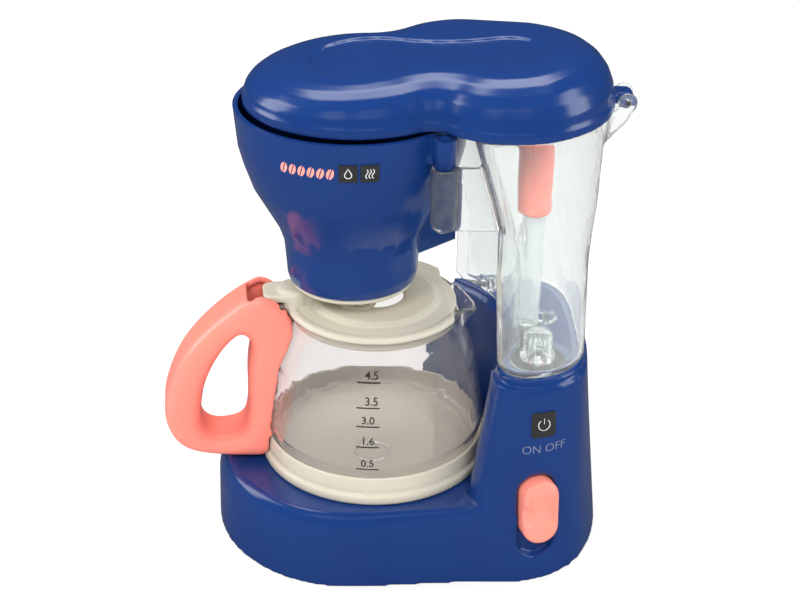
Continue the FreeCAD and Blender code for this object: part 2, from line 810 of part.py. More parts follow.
shelf_height = column_height + plinth_height
pump_top = shelf_height - gasket_thickness
pump_foot = pump_top - pump_depth
duct_half = riser_bore + 1.2


def pump_outline(extra, low, high):
    """Plan of the pump housing: round cup and the straight duct to the riser."""
    half = float(duct_half) + extra
    cup = drum(pump_x, pump_y, low, high, float(pump_radius) + extra)
    end = drum(riser_x, riser_y, low, high, half)
    straight = block(
        (float(riser_x) - half, pump_y, low), (float(riser_x) + half, riser_y, high)
    )
    return joined([cup, end, straight])


def base_shell_shape():
    wall = float(shell_wall)
    height = float(base_height)
    top = float(column_height)
    shelf = float(shelf_height)
    outer = joined([
        platform_solid(0, height),
        column_solid(0, top),
        plinth_solid(0, top - wall, shelf),
    ])
    inner = joined([
        platform_solid(wall, height - wall),
        column_solid(wall, top - wall),
        plinth_solid(wall, top - 2 * wall, shelf - wall),
    ])
    shell = outer.cut(inner)

    # Well and slot of the knob
    width = float(knob_width) + 2 * float(slot_gap)
    travel = float(knob_travel)
    length = float(knob_length) + travel + 2 * float(slot_gap)
    depth = float(slot_depth)
    shift = -travel / 2
    well = on_front(capsule(width, length, -6, depth, shift))
    jacket = on_front(capsule(width + 2 * wall, length + 2 * wall, 1, depth + wall, shift))
    room = 2 * float(slot_gap)
    stem = (float(stem_width) + room, float(stem_length) + room + travel)
    slot = on_front(capsule(*stem, 0, depth + wall + 1, shift))
    posts = []
    for side in (-1, 1):
        middle = shift + side * float(switch_screw_reach)
        posts.append(on_front(upright_disc(
            float(screw_post_radius), depth + 1, float(switch_seat), middle
        )))
    shell = joined([shell, jacket.common(outer), *posts]).cut(well.fuse(slot))

    # Posts for the screws of the underside plate and of the motor's cradle
    low = float(plate_thickness)
    posts = []
    bores = []
    bore = float(screw_radius) + float(snug_gap)
    for x, y in base_screw_spots:
        posts.append(drum(x, y, low, height - 0.5 * wall, screw_post_radius))
        bores.append(drum(x, y, low - 1, low + float(screw_length) + 1, bore))
    for x, y in cradle_spots():
        posts.append(drum(x, y, pump_foot, shelf - 0.5 * wall, screw_post_radius))
        bores.append(drum(x, y, float(pump_foot) - 1, float(pump_foot) + 5.4, bore))
    for side in (-1, 1):
        middle = shift + side * float(switch_screw_reach)
        bores.append(on_front(upright_disc(
            bore, float(switch_seat) - 4.5, float(switch_seat) + 1, middle
        )))
    for x, y in tank_screw_spots:
        bores.append(drum(x, y, shelf - wall - 1, shelf + 1, bore + 0.2))
    shell = joined([shell, *posts])
    roof = pump_outline(float(seat_gap) * 2, top - 2 * wall - 1, shelf + 1)
    return shell.cut(joined([roof, *bores])).removeSplitter()


def upright_disc(radius, near, far, middle):
    """Short cylinder that points out of the column's front, in the switch's frame."""
    return Part.makeCylinder(radius, far - near, Vector(0, near, middle), Vector(0, 1, 0))


switch_seat = slot_depth + shell_wall + 4.5

base_shell = keep(made("BaseShell", base_shell_shape()), "base_shell")


# Underside plate, battery well, cells and contacts

cell_z = door_thickness + seat_gap + cell_radius
well_half_x = 1.5 * cell_pitch
well_half_y = cell_length / 2 + cell_nub / 2 + contact_room
well_top = cell_z + cell_radius + seat_gap
screw_seat = screw_head + 0.1
inset = shell_wall + plate_gap


def centred(x, y, half_x, half_y, low, high):
    """Upright block about a middle."""
    x, y, half_x, half_y = float(x), float(y), float(half_x), float(half_y)
    return block((x - half_x, y - half_y, low), (x + half_x, y + half_y, high))


def base_plate_shape():
    thick = float(plate_thickness)
    sheet_ = loft([platform_outline(float(inset), 0), platform_outline(float(inset) + 0.05, thick)])
    wall = float(well_wall)
    well = centred(
        cell_row_x, 0, well_half_x + wall, well_half_y + wall, thick - 0.5, well_top + wall
    )
    plate = joined([sheet_, well])
    room = centred(cell_row_x, 0, well_half_x, well_half_y, -1, well_top)
    ledge = centred(
        cell_row_x, 0, well_half_x + door_margin, well_half_y + door_margin, -1, door_thickness
    )
    holes = []
    for x, y in base_screw_spots:
        holes.append(drum(x, y, -1, thick + 1, screw_radius + seat_gap))
        holes.append(drum(x, y, -1, screw_seat, screw_head_radius + seat_gap))
    return plate.cut(joined([room, ledge, *holes])).removeSplitter()


base_plate = keep(made("BasePlate", base_plate_shape()), "base_plate")

door_half_x = well_half_x + door_margin - door_gap
door_half_y = well_half_y + door_margin - door_gap
door = new_body("BatteryDoor")
door_outline = polygon(
    sketch_on(door, "DoorOutline"),
    [
        (-door_half_x, -door_half_y),
        (door_half_x, -door_half_y),
        (door_half_x, door_half_y),
        (-door_half_x, door_half_y),
    ],
)
pad(door, door_outline, door_thickness, "DoorPanel")
for row in range(3):
    middle = (row - 1) * groove_pitch
    near = groove_margin - door_half_y
    grooves = sketch_on(door, f"DoorGroove{row}")
    polygon(grooves, [
        (middle - groove_width / 2, near), (middle + groove_width / 2, near),
        (middle + groove_width / 2, near + groove_length),
        (middle - groove_width / 2, near + groove_length),
    ])
    pocket(door, grooves, groove_depth, f"DoorGrooveCut{row}", True)
place(door, cell_row_x, 0, 0)
keep(door, "battery_door")


def cell_points():
    nub = as_size(2.75)
    return [
        (0, 0), (cell_radius, 0), (cell_radius, cell_length),
        (nub, cell_length), (nub, cell_length + cell_nub), (0, cell_length + cell_nub),
    ]


cell_start = (cell_length + cell_nub) / 2
for number in range(3):
    flip = 1 if number % 2 else -1
    cell = turned(f"Cell{number + 1}", cell_points())
    turn = TO_Y if flip < 0 else TO_FRONT
    place(cell, cell_row_x + (number - 1) * cell_pitch, flip * cell_start, cell_z, turn)
    keep(cell, f"battery_cell_{number + 1}")

for side, label in ((-1, "contacts_front"), (1, "contacts_back")):
    leaves = []
    for number in range(3):
        x = cell_row_x + (number - 1) * cell_pitch
        half = as_size(5.5)
        at_wall = side * well_half_y if side < 0 else well_half_y - contact_thickness
        leaves.append(box(
            f"Leaf{side + 1}{number}", 2 * half, contact_thickness, cell_radius * 1.6,
            x - half, at_wall, cell_z - cell_radius * 0.8,
        ))
        bump = doc.addObject("Part::Cone", f"Bump{side + 1}{number}")
        bind(bump, Radius1=as_size(3.4), Radius2=as_size(1.8))
        bind(bump, Height=contact_room - contact_thickness - snug_gap)
        face = -well_half_y + contact_thickness if side < 0 else well_half_y - contact_thickness
        place(bump, x, face, cell_z, TO_Y if side < 0 else TO_FRONT)
        leaves.append(bump)
    joint_x = cell_row_x - cell_pitch if side < 0 else cell_row_x
    at_wall = -well_half_y if side < 0 else well_half_y - contact_thickness
    leaves.append(box(
        f"Link{side + 1}", cell_pitch, contact_thickness, 4, joint_x, at_wall, cell_z
    ))
    keep(fuse(f"Contacts{side + 1}", leaves), label)


# Screws


def screw(name, x, y, z, length, turn=None):
    points = [
        (0, 0), (screw_head_radius, 0), (screw_head_radius, screw_head),
        (screw_radius, screw_head), (screw_radius, screw_head + length), (0, screw_head + length),
    ]
    item = turned(name, points)
    place(item, x, y, z, turn)
    return item


def screw_set(label, spots, z, length):
    screws = []
    for number, (x, y) in enumerate(spots):
        screws.append(screw(f"{label}_{number}", x, y, z, length))
    return keep(group(f"{label}_set", screws), label)


screw_set("base_screws", base_screw_spots, screw_seat - screw_head, screw_length)


# Water tank

socket_radius = post_pin_radius + running_gap + socket_wall
tank_foot = shelf_height


def tank_block(inset_, low, high):
    """The tank's body, drawn in by an inset, between two heights."""
    foot = float(tank_foot)
    wires = [
        tank_outline("foot", low, inset_ + (float(tank_foot_inset) if low <= foot else 0.3)),
        tank_outline("foot", foot + 2.3, inset_),
        tank_outline("waist", float(tank_waist_height), inset_),
        tank_outline("flare", float(tank_flare_height), inset_),
        tank_outline("rim", high, inset_),
    ]
    solid = loft(wires)
    lower_r = float(recess_radius) + float(plinth_inset) + inset_
    upper_r = float(funnel_rim_radius) + float(recess_gap) + inset_
    waist = float(tank_waist_height)
    top = float(socket_top) + 0.5
    circles = []
    for x, radius, z in ((jug_x, lower_r, waist), (funnel_x, upper_r, top)):
        circles.append(Part.Wire(Part.makeCircle(radius, vec(x, 0, z))))
    cutter = joined([
        drum(jug_x, 0, low - 1, waist, lower_r),
        loft(circles),
        drum(funnel_x, 0, top, high + 1, upper_r),
    ])
    return solid.cut(cutter)


def ear(near, far):
    """Clear hinge ear on the tank's right end, between two depths."""
    x, z = float(hinge_x), float(hinge_z)
    points = [
        (x - 8.4, z - 17.5), (x - 8.4, z - 5.2), (x - 3.4, z - 2.2), (x, z),
        (x + 3.9, z - 0.9), (x + 0.4, z - 7.6),
    ]
    corners = [Vector(px, near, pz) for px, pz in points]
    neck = Part.Face(Part.makePolygon([*corners, corners[0]])).extrude(Vector(0, far - near, 0))
    disc = Part.makeCylinder(
        float(hinge_ear_radius), far - near, Vector(x, near, z), Vector(0, 1, 0)
    )
    return neck.fuse(disc)


def tank_shape():
    wall = float(tank_wall)
    foot, top = float(tank_foot), float(tank_height)
    outer = tank_block(0.0, foot, top)
    inner = tank_block(wall, foot + float(tank_floor), top + 1)
    tank = outer.cut(inner)
    extra = []
    for x, y in tank_screw_spots:
        extra.append(drum(x, y, foot, foot + float(tank_floor + tank_boss_height), 4))
    web_low, web_high = float(socket_foot), float(socket_top)
    px, py = float(post_x), float(post_y)
    half = float(web_thickness) / 2
    web = block((px, py - half, web_low), (px + 24, py + half, web_high))
    extra.append(web.cut(tank_block(0.6, foot, top)))
    extra.append(drum(px, py, web_low + 3, web_high, socket_radius))
    extra.append(drum(px, py, web_low, web_low + 3, float(socket_radius) - 2.2, socket_radius))
    near = float(hinge_tab_width / 2 + hinge_side_gap)
    far = near + float(hinge_ear_width)
    extra.append(ear(near, far))
    extra.append(ear(-far, -near))
    tank = joined([tank, *extra])
    bore = drum(px, py, web_low + 2.5, web_high + 1, post_pin_radius + running_gap)
    pin = Part.makeCylinder(
        float(hinge_pin_radius + snug_gap), 40,
        Vector(float(hinge_x), -20, float(hinge_z)), Vector(0, 1, 0),
    )
    holes = [
        bore, pin,
        drum(pump_x, pump_y, foot - 1, foot + 5, 4),
        drum(riser_x, riser_y, foot - 1, foot + 5, riser_bore),
    ]
    for x, y in tank_screw_spots:
        holes.append(drum(x, y, foot - 1, foot + float(short_screw), screw_radius + snug_gap))
    return tank.cut(joined(holes)).removeSplitter()


tank = keep(made("WaterTank", tank_shape()), "water_tank")

tank_floor_top = tank_foot + tank_floor
cap = turned(
    "IntakeCap",
    [
        (4.2, 0), (cap_flange_radius, 0), (cap_flange_radius, 1.4), (cap_radius, 1.4),
        (cap_radius, cap_height - 1.5), (cap_radius - 1.2, cap_height), (0, cap_height),
        (0, cap_height - 1.4), (4.2, cap_height - 1.4),
    ],
    pump_x, pump_y, tank_floor_top,
)
doc.recompute()
for number, role in enumerate(("XZ_Plane", "YZ_Plane")):
    slit = sketch_on(cap, f"CapSlit{number}", role)
    slit_points = [(-1, 2.4), (1, 2.4), (1, 7.5), (-1, 7.5)]
    polygon(slit, slit_points)
    cutter = pocket(cap, slit, 20, f"CapSlitCut{number}")
    cutter.Midplane = True
keep(cap, "intake_cap")

riser = turned(
    "RiserTube",
    [
        (riser_bore, 0), (riser_radius, 0), (riser_radius, riser_top - tank_floor_top),
        (riser_bore, riser_top - tank_floor_top),
    ],
    riser_x, riser_y, tank_floor_top,
)
keep(riser, "riser_tube")


def outlet_pipe_shape():
    x, y = float(riser_x), float(riser_y)
    low, level = float(outlet_foot), float(outlet_level)
    arm, end_x = float(outlet_arm_radius), float(outlet_end_x)
    west = Vector(-1, 0, 0)
    sleeve = drum(x, y, low, level - 6, outlet_radius)
    sleeve = sleeve.makeFillet(2, [e for e in sleeve.Edges if is_level(e, low)])
    solid = joined([
        sleeve,
        drum(x, y, level - 6, level, outlet_radius, arm + 0.4),
        Part.makeSphere(arm + 0.4, Vector(x, y, level)),
        Part.makeCylinder(arm, x - end_x, Vector(x, y, level), west),
        Part.makeSphere(arm, Vector(end_x, y, level)),
        drum(end_x, y, lid_base - 0.3, level, arm),
    ])
    bore = float(outlet_bore)
    hollow = joined([
        drum(x, y, low - 1, riser_top + snug_gap, riser_radius + snug_gap),
        drum(x, y, riser_top, level - 4, riser_bore),
        drum(x, y, level - 4, level, riser_bore, bore),
        Part.makeSphere(bore, Vector(x, y, level)),
        Part.makeCylinder(bore, x - end_x, Vector(x, y, level), west),
        Part.makeSphere(bore, Vector(end_x, y, level)),
        drum(end_x, y, lid_base - 2, level, bore),
    ])
    return solid.cut(hollow).removeSplitter()


keep(made("OutletPipe", outlet_pipe_shape()), "outlet_pipe")


# Lid


def lid_solid(inset_, low, drop):
    """The lid's bulk: upright rim and a dome whose top rises to the right."""
    rim_top = float(lid_base + lid_rim)
    rim = loft([lid_outline(inset_, low), lid_outline(inset_, rim_top)])
    wires = []
    start = inset_ + 0.7
    height = float(lid_rim_step + lid_dome) - drop
    pivot_x = float(panel_left_x)
    wires.append(lid_outline(inset_, rim_top))
    for angle in quarter_steps(6):
        drawn_in = start + float(lid_dome_run) * (1 - math.cos(angle))
        rise = float(lid_rim_step) * 0.6 + (height - float(lid_rim_step) * 0.6) * math.sin(angle)
        wire = lid_outline(drawn_in, rim_top + rise)
        lean = -float(lid_tilt) * math.sin(angle)
        wire.rotate(Vector(pivot_x, 0, rim_top + rise), Vector(0, 1, 0), lean)
        wires.append(wire)
    return rim.fuse(loft(wires))


def lid_shape():
    wall = float(lid_wall)
    outer = lid_solid(0.0, float(lid_base), 0.0)
    inner = lid_solid(wall, float(lid_base) - 1, wall)
    top = float(lid_base + lid_rim + lid_rim_step + lid_dome)
    depth = float(panel_depth)
    dent = loft([panel_outline(0.4, top - depth), panel_outline(0.0, top + 12)])
    pivot = Vector(float(panel_left_x), 0, top)
    dent.rotate(pivot, Vector(0, 1, 0), -float(lid_tilt))
    backing = loft([panel_outline(-wall, top - depth - wall), panel_outline(-wall, top - 0.5)])
    backing.rotate(pivot, Vector(0, 1, 0), -float(lid_tilt))
    lid = outer.cut(inner).fuse(backing.common(outer)).cut(dent)
    x, z = float(hinge_x), float(hinge_z)
    half = float(hinge_tab_width / 2)
    radius = float(hinge_tab_radius)
    tab = block((float(lid_right) - wall, -half, float(lid_base)), (x, half, z + radius))
    barrel = Part.makeCylinder(radius, 2 * half, Vector(x, -half, z), Vector(0, 1, 0))
    lid = joined([lid, tab.fuse(barrel).cut(inner)])
    pin = Part.makeCylinder(
        float(hinge_pin_radius + running_gap), 40, Vector(x, -20, z), Vector(0, 1, 0)
    )
    return lid.cut(pin).removeSplitter()


keep(made("TopLid", lid_shape()), "top_lid")

pin_length = hinge_tab_width + 2 * hinge_side_gap + 2 * hinge_ear_width
keep(
    rod("LidHingePin", hinge_pin_radius, pin_length, hinge_x, -pin_length / 2, hinge_z, TO_Y),
    "lid_hinge_pin",
)


# Filter funnel with its post

def funnel_profile():
    """Radius of the funnel's outside by height above its lower edge."""
    tall = float(funnel_height)
    foot = float(funnel_foot_radius)
    throat = float(funnel_throat_radius)
    middle = float(funnel_middle_radius)
    upper = float(funnel_upper_radius)
    return [
        (foot, 0), (foot + 0.6, 2.2), (throat - 0.6, tall * 0.13), (throat, tall * 0.225),
        (throat + 2.4, tall * 0.32), (middle, tall * 0.415), (middle + 5.9, tall * 0.557),
        (upper, tall * 0.695), (upper + 1.8, tall * 0.788),
        (float(funnel_rim_radius), tall),
    ]


def funnel_radius_at(height):
    """Outside radius on the funnel at a height above the floor."""
    points = funnel_profile()
    level = height - float(funnel_foot)
    for (r0, z0), (r1, z1) in zip(points, points[1:]):
        if z0 <= level <= z1:
            return r0 + (r1 - r0) * (level - z0) / (z1 - z0)
    raise ValueError("no funnel at that height")


def spun(points, x, y, z, start=0.0, angle=360.0):
    """Turns a closed half section about an upright axis."""
    corners = [Vector(radius, 0, height) for radius, height in points]
    face = Part.Face(Part.makePolygon([*corners, corners[0]]))
    solid = face.revolve(Vector(0, 0, 0), Vector(0, 0, 1), angle)
    solid.rotate(Vector(0, 0, 0), Vector(0, 0, 1), start)
    solid.translate(vec(x, y, z))
    return solid


def funnel_shape():
    wall = float(funnel_wall)
    outside = funnel_profile()
    inside = [(radius - wall, z) for radius, z in reversed(outside)]
    cone = spun([*outside, *inside], funnel_x, 0, funnel_foot)
    bowl = spun([(0, -1), *[(r - 0.5 * wall, z) for r, z in outside], (0, float(funnel_height))],
                funnel_x, 0, funnel_foot)
    half = float(web_thickness) * 0.75
    low, high = float(funnel_foot) + 9, float(rib_top)
    far = float(rib_reach)
    left = float(funnel_x) + float(funnel_throat_radius) - 1
    corners = [
        Vector(left, -half, low), Vector(far, -half, low + float(rib_slope)),
        Vector(far, -half, high), Vector(left, -half, high),
    ]
    rib = Part.Face(Part.makePolygon([*corners, corners[0]])).extrude(Vector(0, 2 * half, 0))
    px, py = float(post_x), float(post_y)
    away = math.hypot(px - float(funnel_x), py)
    turn = math.degrees(math.atan2(py, px - float(funnel_x)))
    bridge_low = float(socket_top + running_gap)
    reach = funnel_radius_at(bridge_low + 5) - wall
    bridge = block(
        (reach, -2.5, bridge_low), (away, 2.5, float(funnel_rim) - 0.4)
    )
    bridge.rotate(Vector(0, 0, 0), Vector(0, 0, 1), turn)
    bridge.translate(vec(funnel_x, 0, 0))
    bridge = bridge.cut(bowl)
    head = drum(px, py, socket_top + running_gap, funnel_rim, post_radius)
    pin = drum(px, py, socket_foot + 2.5 + running_gap, socket_top + 1, post_pin_radius)
    funnel = joined([cone, rib.cut(bowl), bridge, head, pin])
    hollow = drum(px, py, float(funnel_rim) - 9, funnel_rim + 1, post_bore / 2)
    return funnel.cut(hollow).removeSplitter()


keep(made("FilterFunnel", funnel_shape()), "filter_funnel")


def label_on_funnel(start, end, low, high):
    """Thin tile that lies on the funnel's outside between two angles."""
    out = float(label_thickness)
    inner = [(funnel_radius_at(low), low), (funnel_radius_at(high), high)]
    outer = [(r + out, z) for r, z in reversed(inner)]
    return spun([*inner, *outer], funnel_x, 0, 0, start, end - start)


label_angle = label_side / (math.pi * funnel_upper_radius) * 180
for label, start in (("funnel_label_left", -95.2), ("funnel_label_right", -85.1)):
    shape = label_on_funnel(
        start, start + float(label_angle) * 0.78, float(label_low), float(label_high)
    )
    keep(made(label.title(), shape), label)


def insert_shape():
    x, foot = float(funnel_x), float(funnel_foot)
    low = foot - float(insert_flange)
    sleeve_r = float(funnel_foot_radius - funnel_wall) - 0.1
    ring = spun(
        [
            (0, low), (float(insert_flange_radius) - 1, low), (float(insert_flange_radius), low + 1),
            (float(insert_flange_radius), foot), (sleeve_r, foot),
            (sleeve_r, foot + float(insert_sleeve)), (sleeve_r - 2, foot + float(insert_sleeve)),
            (sleeve_r - 2, foot), (0, foot),
        ],
        x, 0, 0,
    )
    drop = float(nozzle_length)
    nose = drum(nozzle_x, 0, low - drop, low + 1, nozzle_radius)
    nose = nose.makeFillet(min(3.0, drop * 0.8), [e for e in nose.Edges if is_level(e, low - drop)])
    hole = drum(nozzle_x, 0, low - drop - 1, foot + 1, nozzle_bore)
    return joined([ring, nose]).cut(hole).removeSplitter()


keep(made("DripInsert", insert_shape()), "drip_insert")


# Jug

jug_turn_rotation = Rotation(Vector(0, 0, 1), float(jug_turn))


def in_jug(shape):
    """Puts a shape made about the jug's own axis onto the platform."""
    shape = shape.copy()
    shape.Placement = Placement(vec(jug_x, 0, base_height), jug_turn_rotation)
    return shape


flange, groove = ring_flange, ring_groove
lower_r = ring_upper_radius
jug_base = turned(
    "JugBase",
    [
        (0, 0), (ring_radius - 0.8, 0), (ring_radius, 0.8), (ring_radius, flange - 0.6),
        (ring_radius - 0.6, flange), (lower_r - groove, flange), (lower_r - groove, flange + 1.4),
        (lower_r, flange + 1.4), (lower_r - 0.9, ring_height - 0.5), (lower_r - 1.4, ring_height),
        (glass_foot_radius + 0.1, ring_height), (glass_foot_radius + 0.1, ring_floor),
        (0, ring_floor),
    ],
    jug_x, 0, base_height,
)
keep(jug_base, "carafe_base")


def glass_profile():
    """Radius of the jug by height above the platform."""
    low = float(ring_floor)
    top = float(glass_height)
    foot = float(glass_foot_radius)
    belly = float(glass_belly_radius)
    shoulder = float(glass_shoulder_radius)
    neck = float(glass_neck_radius)
    start = float(ring_height)
    tall = top - start
    curve = [
        (belly, 0.075), (belly - 0.7, 0.194), (belly - 2.2, 0.374), (shoulder + 0.9, 0.573),
        (shoulder - 1.4, 0.68), (shoulder - 3.6, 0.765), (neck + 0.3, 0.84), (neck, 0.893), (neck, 1),
    ]
    below = [(foot - 2, low), (foot, low + 2), (foot, start)]
    return below + [(radius, start + tall * share) for radius, share in curve]


def glass_radius_at(height):
    """Outside radius of the jug at a height above the platform."""
    points = glass_profile()
    for (r0, z0), (r1, z1) in zip(points, points[1:]):
        if z0 <= height <= z1:
            return r0 + (r1 - r0) * (height - z0) / (z1 - z0)
    raise ValueError("no jug at that height")


def spout_solid(inset_, rise):
    """Pouring spout on the rim's right side."""
    neck = float(glass_neck_radius)
    half = float(spout_half_width) - inset_
    reach = float(spout_reach) - inset_ * 1.6
    top = float(glass_height) + rise
    low = float(glass_height) - float(spout_drop)
    back = neck - 8

    def outline(z, share):
        out = neck - 2.5 + (reach - neck + 2.5) * share
        wide = half * (0.35 + 0.65 * share)
        points = [
            Vector(back, -wide, z), Vector(neck - 2, -wide * 0.97, z),
            Vector(neck - 2 + (out - neck + 2) * 0.62, -wide * 0.62, z),
            Vector(out, 0, z),
            Vector(neck - 2 + (out - neck + 2) * 0.62, wide * 0.62, z),
            Vector(neck - 2, wide * 0.97, z), Vector(back, wide, z),
        ]
        curve = Part.BSplineCurve()
        curve.interpolate(points)
        return Part.Wire([
            curve.toShape(), Part.LineSegment(points[-1], points[0]).toShape()
        ])

    return loft([outline(low + inset_, 0.0), outline(low + (top - low) * 0.55, 0.5), outline(top, 1.0)])


def glass_shape():
    wall = float(glass_wall)
    outside = glass_profile()
    body = spun([(0, outside[0][1]), *outside, (0, outside[-1][1])], 0, 0, 0)
    inside = [(radius - wall, z) for radius, z in outside[1:]]
    inside[0] = (inside[0][0] - 0.8, float(ring_floor) + wall)
    inside[-1] = (inside[-1][0], float(glass_height) + 1)
    hollow = spun([(0, inside[0][1]), *inside, (0, inside[-1][1])], 0, 0, 0)
    outer = joined([body, spout_solid(0.0, 0.0)])
    inner = joined([hollow, spout_solid(wall, 1.0)])
    glass = outer.cut(inner)
    neck, rim = float(glass_neck_radius), float(glass_height)
    corners = [
        Vector(neck, -30, rim + 0.1), Vector(float(spout_reach), -30, rim - float(spout_fall)),
        Vector(float(spout_reach) + 9, -30, rim - float(spout_fall)),
        Vector(float(spout_reach) + 9, -30, rim + 9), Vector(neck, -30, rim + 9),
    ]
    slope = Part.Face(Part.makePolygon([*corners, corners[0]])).extrude(Vector(0, 60, 0))
    glass = glass.cut(slope)
    holes = []
    for z in handle_screw_heights:
        holes.append(Part.makeCylinder(
            float(screw_radius + seat_gap), 20, Vector(-30, 0, z), Vector(-1, 0, 0)
        ))
    return in_jug(glass.cut(joined(holes)).removeSplitter())


handle_screw_heights = [float(ring_height) + rise for rise in (8.2, 18.2)]
jug_pin_z = float(lever_top_height - lever_pin_drop)
keep(made("JugGlass", glass_shape()), "carafe_glass")

# The handle's outlines are drawn for a jug of this height and stretch with the glass.
drawn_height = 71
stretch = float(glass_height) / drawn_height
outer_handle = [
    (-50.5, 80.6), (-60, 75), (-72.4, 64.6), (-82.2, 52.6), (-88.2, 40), (-91.2, 27),
    (-89.6, 16), (-84.6, 8.6), (-76, 4.6), (-64, 2.6), (-50, 1.4), (-38, 4), (-33, 14), (-33, 28), (-33, 44),
    (-33, 56), (-34, 67), (-40, 76),
]
inner_handle = [
    (-56.6, 62), (-53.9, 59), (-54.2, 49), (-55.2, 33), (-56, 20.5), (-58.5, 14.6), (-64.8, 12.2),
    (-71.6, 13), (-75, 16.6), (-75.8, 26), (-74, 37), (-70.6, 46), (-65.6, 54.6), (-60, 60.8),
]
outer_handle = [(x, z * stretch) for x, z in outer_handle]
inner_handle = [(x, z * stretch) for x, z in inner_handle]


def closed_curve(points, depth, drawn_in=0.0):
    """Smooth closed outline in the handle's plane. A positive inset makes it smaller."""
    curve = Part.BSplineCurve()
    curve.interpolate([Vector(x, depth, z) for x, z in points], PeriodicFlag=True)
    if abs(drawn_in) < 1e-6:
        return Part.Wire([curve.toShape()])
    area = 0.0
    for (x0, z0), (x1, z1) in zip(points, [*points[1:], points[0]]):
        area += x0 * z1 - x1 * z0
    side = 1 if area > 0 else -1
    first, last = curve.FirstParameter, curve.LastParameter
    count = 36
    moved = []
    for n in range(count):
        value = first + (last - first) * n / count
        along = curve.tangent(value)[0]
        normal = Vector(-along.z, 0, along.x) * side
        moved.append(curve.value(value) + normal * drawn_in)
    inner = Part.BSplineCurve()
    inner.interpolate(moved, PeriodicFlag=True)
    return Part.Wire([inner.toShape()])


def rounded_slab(points, grow):
    """The outline padded to both sides of its plane, with rounded edges."""
    half, round_ = float(handle_width) / 2, float(handle_round)
    steps = []
    for angle in quarter_steps(3):
        steps.append((round_ * (1 - math.cos(angle)), half - round_ + round_ * math.sin(angle)))
    levels = [(d, -y) for d, y in reversed(steps)] + steps
    return loft([closed_curve(points, y, grow * d + 1e-5) for d, y in levels])


def handle_keep_out(extra):
    """Room that the handle leaves for the glass and the ring."""
    around = [(radius + extra, z) for radius, z in glass_profile()]
    shapes = [
        spun([(0, -2), (around[0][0], -2), *around, (0, around[-1][1])], 0, 0, 0),
        Part.makeCylinder(float(ring_radius) + extra, float(ring_flange) + 4 + extra, Vector(0, 0, -4)),
        Part.makeCylinder(float(ring_upper_radius) + extra, float(ring_height) + extra),
        Part.makeCylinder(float(lid_disc_radius) + 0.5, 20, Vector(0, 0, float(glass_height) - 1)),
    ]
    return joined(shapes)


def handle_shape():
    gap, wall = float(seat_gap), float(handle_wall)
    bulk = rounded_slab(outer_handle, 1).cut(rounded_slab(inner_handle, -1))
    bulk = bulk.cut(handle_keep_out(gap))
    depth = float(handle_width) / 2 - wall
    drawn_in = wall + 1.6
    room = Part.Face(closed_curve(outer_handle, -depth, drawn_in)).extrude(Vector(0, 2 * depth, 0))
    hole = Part.Face(closed_curve(inner_handle, -depth - 1, -drawn_in))
    room = room.cut(hole.extrude(Vector(0, 2 * depth + 2, 0)))
    room = room.cut(handle_keep_out(gap + wall))
    side = float(lever_width) / 2
    mouth = block((-54, -side, float(glass_height) - 2), (-30, side, float(glass_height) + 30))
    holes = []
    for z in handle_screw_heights:
        holes.append(Part.makeCylinder(
            float(screw_radius + snug_gap), 40, Vector(-30, 0, z), Vector(-1, 0, 0)
        ))
    holes.append(Part.makeCylinder(
        float(jug_pin_radius + snug_gap), 20.2,
        Vector(-float(jug_pin_x), -10.1, jug_pin_z), Vector(0, 1, 0),
    ))
    return bulk.cut(room).cut(joined([mouth.cut(handle_keep_out(gap)), *holes])).removeSplitter()


keep(made("JugHandle", in_jug(handle_shape())), "carafe_handle")

screws = []
for number, z in enumerate(handle_screw_heights):
    name = f"HandleScrew{number}"
    item = screw(name, 0, 0, 0, short_screw)
    reach = glass_radius_at(z) - float(glass_wall) - 0.5 - float(screw_head)
    spot = in_jug(Part.Vertex(-reach, 0, z)).Placement.multVec(Vector(-reach, 0, z))
    item.Placement = Placement(spot, jug_turn_rotation.multiply(Rotation(Vector(0, 1, 0), -90)))
    screws.append(item)
keep(group("HandleScrews", screws), "handle_screws")


